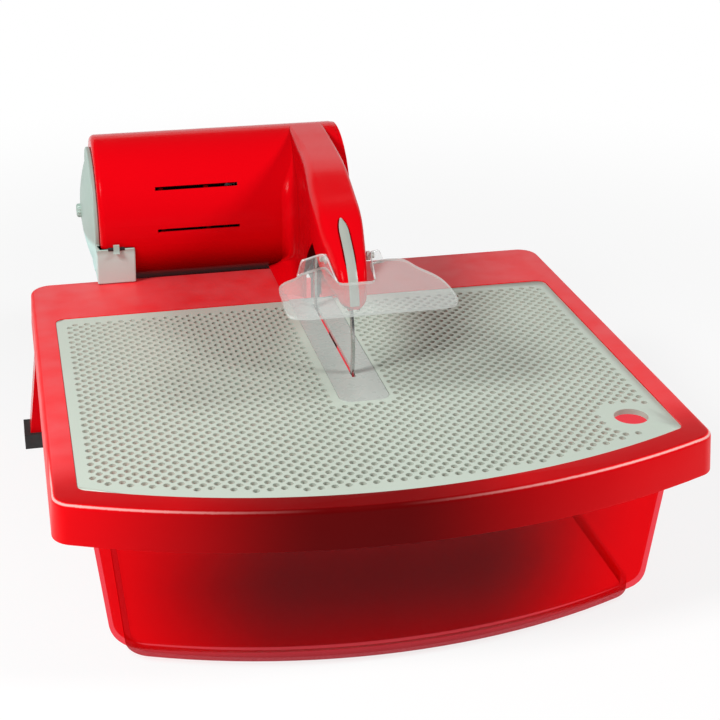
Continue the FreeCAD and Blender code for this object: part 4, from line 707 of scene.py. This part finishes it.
# %% Read the measured arm's limits at any depth
MOTOR_LOW, MOTOR_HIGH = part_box("motor_shell_rear")
MOTOR_RADIUS = (MOTOR_HIGH.z - MOTOR_LOW.z) / 2
MOTOR_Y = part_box("motor_shell_front")[0].y + MOTOR_RADIUS
MOTOR_Z = (MOTOR_HIGH.z + MOTOR_LOW.z) / 2
RING_LOW, RING_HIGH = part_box("ring_blade")
RING_X = (RING_LOW.x + RING_HIGH.x) / 2
ARM_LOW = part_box("arm_shell")[0]
COVER_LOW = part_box("ring_cover")[0]
SEAM_X = COVER_LOW.x - 0.15 * MM
SEAM_Y = COVER_LOW.y - 0.15 * MM
SEAM_REACH = 0.6 * MM
NOSE_Y, DECK = ARM_LOW.y, ARM_LOW.z


def edge_ends(nodes):
    """Both ends of every edge of some measured pieces."""
    ends = []
    for node in nodes:
        mesh = frame["nodes"][node].data
        for edge in mesh.edges:
            a, b = edge.vertices
            ends.append((mesh.vertices[a].co.copy(), mesh.vertices[b].co.copy()))
    return ends


def cut_limits(ends, y):
    """Left, right, bottom and top of the pieces where a plane across Y cuts them."""
    points = []
    for a, b in ends:
        if (a.y - y) * (b.y - y) <= 0 and a.y != b.y:
            points.append(a.lerp(b, (y - a.y) / (b.y - a.y)))
    xs = [p.x for p in points]
    zs = [p.z for p in points]
    return min(xs), max(xs), min(zs), max(zs)


def limits_at(ends, y):
    """The same, but taken from both sides of the thin gap in front of the cover."""
    if abs(y - SEAM_Y) > SEAM_REACH:
        return cut_limits(ends, y)
    front, back = cut_limits(ends, SEAM_Y - SEAM_REACH), cut_limits(ends, SEAM_Y + SEAM_REACH)
    return tuple((a + b) / 2 for a, b in zip(front, back))


arm_ends = edge_ends(["arm_shell", "ring_cover"])
COLUMN_Y = min(p.y for pair in arm_ends for p in pair if p.z < DECK + 2 * MM)
print("motor radius:", round(MOTOR_RADIUS, 4), "column at:", round(COLUMN_Y, 4))

# %% [markdown]
# Sections stand close together at the nose's tip, where the crown is steep, and evenly over the
# arm's length. The cover's seam and the column's front need sections exactly at their places.
# Where the housing is in the way, the walls stop at it. The sections there stand at equal angles
# round the housing, so the hood's edge follows its curve closely.

# %% Depths of the cross-sections
TIP_STEPS, TIP_REACH, HOOD_STEP = 16, 14 * MM, 2.0 * MM
CLEAR = 0.8 * MM
CUT_RADIUS = MOTOR_RADIUS + 0.25 * MM
CUT_STEPS = 24
depths = [NOSE_Y + 0.05 * MM + (k / TIP_STEPS) ** 2 * TIP_REACH for k in range(TIP_STEPS)]
y = NOSE_Y + TIP_REACH
while y < MOTOR_Y - CUT_RADIUS - 0.5 * MM:
    depths.append(y)
    y += HOOD_STEP
depths = [d for d in depths if abs(d - SEAM_Y) > CLEAR and abs(d - COLUMN_Y) > CLEAR]
depths += [SEAM_Y, COLUMN_Y - 0.05 * MM, COLUMN_Y + 0.05 * MM]
for k in range(CUT_STEPS):
    depths.append(MOTOR_Y - CUT_RADIUS * math.cos(math.pi / 2 * k / CUT_STEPS))
depths.append(MOTOR_Y - 1 * MM)
depths.sort()
sections = []
for depth in depths:
    left, right, bottom, top = limits_at(arm_ends, depth)
    sections.append((depth, left, right, DECK if depth > COLUMN_Y else bottom, top))
print("sections:", len(sections))

# %% [markdown]
# The flare is an ordinary fillet between a wall and a cylinder: at a distance d from the cylinder
# the wall moves out by r minus the root of r squared minus (r - d) squared. Its radius grows from
# nothing at the top of the housing to its full size low down. A second flare spreads the arm's foot
# over the table's notch.

# %% Flares of the left wall
FLARE = 15 * MM
FLARE_TOP, FLARE_FADE = 0.9 * MOTOR_RADIUS, 0.6 * MOTOR_RADIUS
DECK_FADE = 18 * MM
FOOT_HEIGHT, FOOT_CURVE, FOOT_LEAD = 20 * MM, 2.2, 14 * MM
FOOT_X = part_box("throat_insert")[0].x - 3 * MM


def ease(value):
    """A soft step from 0 to 1."""
    value = max(0.0, min(1.0, value))
    return value * value * (3 - 2 * value)


def fillet(radius, gap):
    """How far a round corner of this radius stands out at this distance from the corner."""
    if gap >= radius:
        return 0.0
    return radius - math.sqrt(max(radius * radius - (radius - gap) ** 2, 0.0))


def wall_flare(y, z):
    """How far the left wall stands out near the housing."""
    radius = FLARE * ease((MOTOR_Z + FLARE_TOP - z) / FLARE_FADE)
    radius *= ease((z - DECK) / DECK_FADE)
    return fillet(radius, max(math.hypot(y - MOTOR_Y, z - MOTOR_Z) - MOTOR_RADIUS, 0.0))


def foot_flare(y, z, left):
    """How far the column's foot spreads to the left, over the notch."""
    if y < COLUMN_Y:
        return 0.0
    low = max(0.0, 1 - (z - DECK) / FOOT_HEIGHT)
    return (left - FOOT_X) * low ** FOOT_CURVE * ease((y - COLUMN_Y) / FOOT_LEAD)


# %% [markdown]
# The strip on the nose lies in a shallow groove of the crown. The groove's columns of points follow
# the strip's width, which starts from a point and widens like a quarter wave, so the same function
# serves the strip later on. The groove is sunk square to the crown, along its normal.

# %% The strip's width, and a point of the crown pushed in or out
STRIP_LOW, STRIP_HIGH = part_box("nose_strip")
STRIP_X = (STRIP_LOW.x + STRIP_HIGH.x) / 2
STRIP_HALF = (STRIP_HIGH.x - STRIP_LOW.x) / 2
STRIP_END = STRIP_HIGH.y + 9 * MM
STRIP_TAPER, TAPER_CURVE = 17 * MM, 0.8
STRIP_LEAN = 3.6 * MM


def strip_half(y):
    share = max(0.0, min(1.0, (STRIP_END - y) / STRIP_TAPER))
    return STRIP_HALF * math.sin(share * math.pi / 2) ** TAPER_CURVE


def strip_middle(y):
    """The strip leans a little to the left on its way down to the ring's plane."""
    return STRIP_X - STRIP_LEAN * ease((STRIP_END - y) / (STRIP_END - NOSE_Y))


def crown_normal(i):
    """The direction out of the crown at a section, as (y, z)."""
    a, b = sections[max(i - 1, 0)], sections[min(i + 1, len(sections) - 1)]
    along = Vector((b[0] - a[0], b[4] - a[4])).normalized()
    return -along.y, along.x


def crown_point(i, x, push=0.0):
    """A point over section i of the crown, pushed out along its normal."""
    depth, top = sections[i][0], sections[i][4]
    out_y, out_z = crown_normal(i)
    return (x, depth + out_y * push, top + out_z * push)


# %% [markdown]
# A wall's points stand half under the housing's cylinder and half over it, so no cell of the skin
# crosses it. At the nose the walls draw in to a round chin. Behind the ring the right wall hangs a
# little lower than the left one, with a nearly straight lower edge.

# %% Heights of a wall's points, the chin and the right wall's edge
WALL_POINTS = 34
CHIN, CHIN_REACH, CHIN_SHARE = 11 * MM, 60 * MM, 0.42
WALL_DROP = 26 * MM
RIGHT_WALL_END = limits_at(arm_ends, COLUMN_Y - 0.5 * MM)[2]


def wall_heights(y, bottom, top):
    half = WALL_POINTS // 2
    reach = math.sqrt(max(CUT_RADIUS ** 2 - (y - MOTOR_Y) ** 2, 0.0))
    low = min(max(MOTOR_Z - reach, bottom), top)
    high = max(min(MOTOR_Z + reach, top), low)
    under = [bottom + (low - bottom) * k / half for k in range(half)] + [low]
    over = [high + (top - high) * k / half for k in range(half)] + [top]
    return under + over


def chin(y, z, bottom, width):
    """How far the walls draw in at the bottom of the nose."""
    radius = min(CHIN * ease((NOSE_Y + CHIN_REACH - y) / CHIN_REACH), CHIN_SHARE * width)
    return fillet(radius, z - bottom)


def right_bottom(y, bottom):
    """The height of the right wall's lower edge."""
    share = (y - NOSE_Y) / (COLUMN_Y - NOSE_Y)
    if share <= 0 or share >= 1:
        return bottom
    start = sections[0][3]
    chord = start + (RIGHT_WALL_END - start) * share + WALL_DROP * share * (1 - share)
    return min(bottom, chord)


# %% [markdown]
# One section runs round the arm: from the slot for the ring, up the left wall, over the round left
# corner, across the crown with its groove, over the smaller right corner and down the right wall.
# Every section has the same number of points, so that neighbours can be skinned. Where the arm is
# narrow, the corners and the groove shrink with it.

# %% The crown's points
LEFT_CORNER, RIGHT_CORNER = 8.5 * MM, 3.2 * MM
ARC_POINTS, CROWN_POINTS = 7, 3
GROOVE, GROOVE_DEPTH = 1.2 * MM, 1.5 * MM


def crown_points(i, start, end):
    """The groove's points between the two corners, with some on either side and one at the seam."""
    depth = sections[i][0]
    centre = strip_middle(depth)
    half = min(strip_half(depth), centre - start - GROOVE - 0.2 * MM,
               end - centre - GROOVE - 0.4 * MM)
    half = max(half, 0.05 * MM)
    fade = min(1.0, half / (1.2 * MM))
    groove = GROOVE * fade
    sink = GROOVE_DEPTH * fade if depth < STRIP_END else 0.0
    seam = min(SEAM_X, end - 0.2 * MM)
    centre = max(min(centre, seam - half - groove - 0.1 * MM), start + half + groove + 0.1 * MM)
    inner = [centre - half - groove, centre - half - groove * 0.7, centre - half,
             centre + half, centre + half + groove * 0.7, centre + half + groove]
    points = [crown_point(i, start + (inner[0] - start) * k / CROWN_POINTS)
              for k in range(CROWN_POINTS)]
    for x, push in zip(inner, (0.0, -sink, -sink, -sink, -sink, 0.0)):
        points.append(crown_point(i, x, push))
    seam = max(seam, inner[-1] + 0.1 * MM)
    for k in range(CROWN_POINTS):
        points.append(crown_point(i, seam + (end - seam) * k / CROWN_POINTS))
    return points


# %% One cross-section of the hood
SLOT_HALF = 4 * MM
NOSE_TRIM, TRIM_REACH = 3.0 * MM, 70 * MM
LEFT_SHARE, RIGHT_SHARE, HEIGHT_SHARE = 0.28, 0.15, 0.8


def hood_section(i):
    depth, left, right, bottom, top = sections[i]
    right -= NOSE_TRIM * ease((NOSE_Y + TRIM_REACH - depth) / TRIM_REACH)
    width, height = right - left, top - bottom
    lc = min(LEFT_CORNER, width * LEFT_SHARE, height * HEIGHT_SHARE,
             (SEAM_X - left - 0.8 * MM) * 0.9)
    rc = min(RIGHT_CORNER, width * RIGHT_SHARE, height * HEIGHT_SHARE)
    slot = SLOT_HALF if depth > RING_LOW.y - 3 * MM else 0.0
    quarter = [math.pi / 2 * k / ARC_POINTS for k in range(ARC_POINTS)]
    points = [(RING_X - slot, depth, bottom)]
    for z in wall_heights(depth, bottom, top - lc)[:-1]:
        x = left - wall_flare(depth, z) - foot_flare(depth, z, left)
        points.append((x + chin(depth, z, bottom, width), depth, z))
    blend = wall_flare(depth, top - lc)
    for turn in quarter:
        points.append((left - blend + (lc + blend) * (1 - math.cos(turn)), depth,
                       top - lc + lc * math.sin(turn)))
    points += crown_points(i, left + lc, right - rc)
    for turn in quarter:
        points.append((right - rc + rc * math.sin(turn), depth, top - rc + rc * math.cos(turn)))
    low = right_bottom(depth, bottom)
    for z in reversed(wall_heights(depth, low, top - rc)):
        points.append((right - chin(depth, z, low, width), depth, z))
    inner = SEAM_X if depth > SEAM_Y - 1e-6 else RING_X + slot
    points.append((inner, depth, bottom if low < bottom - 0.5 * MM else low))
    return points


rows = [hood_section(i) for i in range(len(sections))]
middle = (sections[0][3] + sections[0][4]) / 2
rows.insert(0, [(p[0], p[1] - 0.02 * MM, middle) for p in rows[0]])
print("points:", len(rows) * len(rows[0]))

# %% [markdown]
# The hood's left part, with the nose, belongs to the head. Its right part behind the nose is the
# cover that pulls off. Both are cut from the same grid of points, so they meet without a step.
# Cells inside the housing are left out, and Solidify gives the moulding its wall.

# %% Skin some cells of the grid of points
def mesh_from(bm, name):
    """A plain mesh out of an edit mesh."""
    mesh = bpy.data.meshes.new(name)
    bm.to_mesh(mesh)
    bm.free()
    return mesh


def skin(name, choose):
    """A sheet through the chosen cells of the grid of points."""
    bm = bmesh.new()
    made = {}
    for i in range(len(rows) - 1):
        for j in range(len(rows[0]) - 1):
            cell = ((i, j), (i + 1, j), (i + 1, j + 1), (i, j + 1))
            y, z = (sum(rows[a][b][k] for a, b in cell) / 4 for k in (1, 2))
            free = math.hypot(y - MOTOR_Y, z - MOTOR_Z) > CUT_RADIUS - 0.01 * MM
            if not (free and choose(i, j)):
                continue
            for a, b in cell:
                if (a, b) not in made:
                    made[a, b] = bm.verts.new(rows[a][b])
            bm.faces.new([made[corner] for corner in cell])
    bmesh.ops.remove_doubles(bm, verts=bm.verts, dist=0.01 * MM)
    bmesh.ops.dissolve_degenerate(bm, dist=0.005 * MM, edges=bm.edges)
    bmesh.ops.recalc_face_normals(bm, faces=bm.faces)
    roof = max(bm.faces, key=lambda face: face.calc_center_median().z)
    if roof.normal.z < 0:
        bmesh.ops.reverse_faces(bm, faces=bm.faces)
    return mesh_from(bm, name)


# %% Thicken the two parts
def thicken(piece, width, offset):
    """A modifier that gives a thin sheet its thickness."""
    wall = piece.modifiers.new("wall", "SOLIDIFY")
    wall.thickness = width
    wall.offset = offset


def in_cover(i, j):
    """Cells behind the seam across the arm and right of the seam along it."""
    return i >= SEAM_ROW and j >= SEAM_COLUMN


HOOD_WALL = 1.6 * MM
GROOVE_POINTS = 6
SEAM_COLUMN = 1 + (WALL_POINTS + 1) + ARC_POINTS + CROWN_POINTS + GROOVE_POINTS
SEAM_ROW = 1 + min(i for i, section in enumerate(sections) if section[0] >= SEAM_Y - 1e-6)
for name, choose, body, node in (
        ("arm_hood", lambda i, j: not in_cover(i, j), "head", "arm_shell"),
        ("cover_hood", in_cover, "cover", "ring_cover")):
    sheet = bpy.data.objects.new(name, skin(name, choose))
    scene.collection.objects.link(sheet)
    thicken(sheet, HOOD_WALL, -1)
    mesh = plain_mesh(sheet, name)
    smooth(mesh, 35)
    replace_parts(new_piece(name, mesh, "red_shell", body), node)
    print(name, "faces:", len(mesh.polygons))

# %% [markdown]
# ## The nose's strip
# The grey strip is an inlay with a gently domed face. It is a closed tube of eight points per
# section that follows the crown through the groove, from a point near the top to the nose's tip.

# %% Sweep the strip
STRIP_RISE = 0.45 * MM
STRIP_SHAPE = ((-1, -0.7), (-1, 0.1), (-0.7, 0.8), (0, 1), (0.7, 0.8), (1, 0.1), (1, -0.7),
               (0, -0.8))


def tube(name, rings, angle):
    """A closed tube through rings of points, smoothly shaded."""
    bm = bmesh.new()
    rings = [[bm.verts.new(point) for point in ring] for ring in rings]
    for a, b in zip(rings, rings[1:]):
        for k in range(len(a)):
            after = (k + 1) % len(a)
            bm.faces.new((a[k], a[after], b[after], b[k]))
    bm.faces.new(rings[0])
    bm.faces.new(rings[-1])
    bmesh.ops.recalc_face_normals(bm, faces=bm.faces)
    mesh = mesh_from(bm, name)
    smooth(mesh, angle)
    return mesh


rings = []
for i, (depth, left, right, bottom, top) in enumerate(sections):
    if depth < STRIP_END - 0.3 * MM:
        half = max(min(strip_half(depth), (right - left) * 0.30), 0.15 * MM)
        rings.append([crown_point(i, strip_middle(depth) + u * half, v * STRIP_RISE)
                      for u, v in STRIP_SHAPE])
nose_inlay = new_piece("nose_inlay", tube("nose_inlay", rings, 50), "inlay_grey", "head")
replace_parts(nose_inlay, "nose_strip")
print("strip sections:", len(rings))

# %% [markdown]
# ## The splash shield
# The shield is a clear sheet with a soft, leaf-like outline round the nose, and an upright lip
# behind it that holds it on the nose's two pins. A smooth curve through a few points gives any such
# outline. The points are in millimetres from the ring's plane and the nose's tip.

# %% A smooth curve through a few points
SHIELD_LOW, SHIELD_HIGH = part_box("splash_shield")
SHEET_THICK = 2.0 * MM


def smooth_path(points, steps=6):
    """A Catmull-Rom curve through the points, with its ends."""
    points = [Vector((RING_X + x * MM, NOSE_Y + y * MM)) for x, y in points]
    points = [points[0]] + points + [points[-1]]
    path = []
    for a, b, c, d in zip(points, points[1:], points[2:], points[3:]):
        for k in range(steps):
            t = k / steps
            path.append(0.5 * (2 * b + (c - a) * t + (2 * a - 5 * b + 4 * c - d) * t * t
                               + (3 * b - a - 3 * c + d) * t ** 3))
    path.append(points[-1])
    return path


# %% [markdown]
# The sheet's outline goes once round the leaf and comes back along the straight cutout for the
# nose, so one face fills it. A single step per stretch leaves the cutout's corners as they are.

# %% The sheet
leaf = smooth_path((
    (19, 38), (27, 44), (38, 45.5), (46, 41), (52, 23), (59.5, 6), (63, -12), (63, -38),
    (59.5, -51), (50, -55.5), (30, -55.8), (0, -55.8), (-24, -56), (-48, -55), (-57, -50),
    (-58.5, -38), (-57, -15), (-55.5, 3), (-50, 13), (-41, 20), (-37, 25), (-30, 31), (-19, 38),
    (-15, 38)))
cutout = smooth_path(((-12.8, 20), (-11.6, 5), (-9, 2.8), (12, 2.8), (14.6, 5), (16.5, 20)), 1)
bm = bmesh.new()
face = bm.faces.new([bm.verts.new((*p, SHIELD_LOW.z + SHEET_THICK)) for p in leaf + cutout])
bm.normal_update()
if face.normal.z < 0:
    face.normal_flip()
bmesh.ops.triangulate(bm, faces=bm.faces)
shield_sheet = new_piece("shield_sheet", mesh_from(bm, "shield_sheet"), "clear_plastic", "shield")
thicken(shield_sheet, SHEET_THICK, -1)
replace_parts(shield_sheet, "splash_shield")
print("outline points:", len(leaf) + len(cutout))


# %% [markdown]
# The lip is bent up from the same sheet, a little thinner, on both sides of the nose. Each side is
# a ribbon along a path. It rises from nothing at its outer end, keeps its height past the pin and
# falls again beside the nose, so each has a height, a rise and a fall counted in path points.

# %% The lip
LIP_THICK = 1.4 * MM
LIP_HEIGHT = SHIELD_HIGH.z - SHIELD_LOW.z - SHEET_THICK
LEVELS = 5


def ribbon(name, points, share, rise, fall):
    """An upright clear strip along a path on the sheet."""
    path = smooth_path(points, 8)
    base = SHIELD_LOW.z + SHEET_THICK * 0.6
    bm = bmesh.new()
    columns = []
    for k, p in enumerate(path):
        height = LIP_HEIGHT * share * ease(k / rise) * ease((len(path) - 1 - k) / fall)
        height += 0.4 * MM
        columns.append([bm.verts.new((*p, base + height * level / LEVELS))
                        for level in range(LEVELS + 1)])
    for a, b in zip(columns, columns[1:]):
        for k in range(LEVELS):
            bm.faces.new((a[k], b[k], b[k + 1], a[k + 1]))
    mesh = mesh_from(bm, name)
    smooth(mesh, 60)
    thicken(new_piece(name, mesh, "clear_lip", "shield"), LIP_THICK, 0)


ribbon("left_lip", ((-38, 26), (-30, 30), (-22, 35), (-17.5, 37), (-14.6, 34), (-13.6, 24),
                    (-12.8, 14), (-12.2, 6)), 1, 5, 30)
ribbon("right_lip", ((30, 41), (24, 39.5), (19.6, 37), (17.8, 28), (16.8, 18), (15.6, 8)),
       0.9, 6, 26)
print("lip height:", round(LIP_HEIGHT, 4))

# %% [markdown]
# ## Small parts of the left end
# The knob is a short ribbed button, turned up from a profile. Each of its points is a place along
# the axis in front of the knob's face, a radius in millimetres, and how strongly it is ribbed. The
# ribs are a small wave added to the radius.

# %% The knob
KNOB_LOW, KNOB_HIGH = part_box("end_knob")
KNOB_Y, KNOB_Z = (KNOB_LOW.y + KNOB_HIGH.y) / 2, (KNOB_LOW.z + KNOB_HIGH.z) / 2
KNOB_RIBS, KNOB_SIDES, RIB = 12, 96, 0.25
KNOB_FACE = KNOB_LOW.x + 2.5 * MM
PROFILE = ((6, 4.2, 0), (5.4, 5.6, 0), (5.0, 6.0, 1), (1.2, 5.7, 1), (0.4, 5.2, 0.5), (0, 4.5, 0),
           (0.25, 3.0, 0), (0.3, 1.2, 0))

stations = [(KNOB_HIGH.x, 4.2, 0)]
stations += [(KNOB_FACE + x * MM, radius, ribbed) for x, radius, ribbed in PROFILE]
rings = []
for x, radius, ribbed in stations:
    ring = []
    for k in range(KNOB_SIDES):
        turn = 2 * math.pi * k / KNOB_SIDES
        r = (radius + ribbed * RIB * math.cos(turn * KNOB_RIBS)) * MM
        ring.append((x, KNOB_Y + r * math.cos(turn), KNOB_Z + r * math.sin(turn)))
    rings.append(ring)
ribbed_knob = new_piece("ribbed_knob", tube("ribbed_knob", rings, 40), "bracket_grey", "knob")
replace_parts(ribbed_knob, "end_knob")
print("knob rings:", len(rings))

# %% [markdown]
# The latch is a pale tab in front of a dark slot. The slot is shallow and nothing goes into it, so a
# thin black block with soft edges behind the tab stands for it, a painted shade for its dark inside.

# %% The latch's dark slot, as a block of painted shade
TAB_LOW, TAB_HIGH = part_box("latch_tab")
BRACKET_TOP = TAB_LOW.z + 2 * MM
SLOT_REACH = 4.5 * MM
slot_low = Vector((TAB_LOW.x - SLOT_REACH, TAB_HIGH.y + 0.35 * MM, BRACKET_TOP + 0.2 * MM))
slot_high = Vector((TAB_HIGH.x + SLOT_REACH, TAB_HIGH.y + 2.6 * MM, BRACKET_TOP + 3.0 * MM))
bm = bmesh.new()
bmesh.ops.create_cube(bm, size=1)
bmesh.ops.scale(bm, vec=slot_high - slot_low, verts=bm.verts)
bmesh.ops.translate(bm, vec=(slot_high + slot_low) / 2, verts=bm.verts)
bmesh.ops.bevel(bm, geom=bm.edges, offset=0.5 * MM, segments=2, profile=0.5, affect="EDGES")
mesh = mesh_from(bm, "latch_slot_shade")
smooth(mesh, 60)
# Painted shade: a black block where the slot's dark inside is.
new_piece("latch_slot_shade", mesh, "black_plastic", "head")
print("slot width:", round(slot_high.x - slot_low.x, 4))
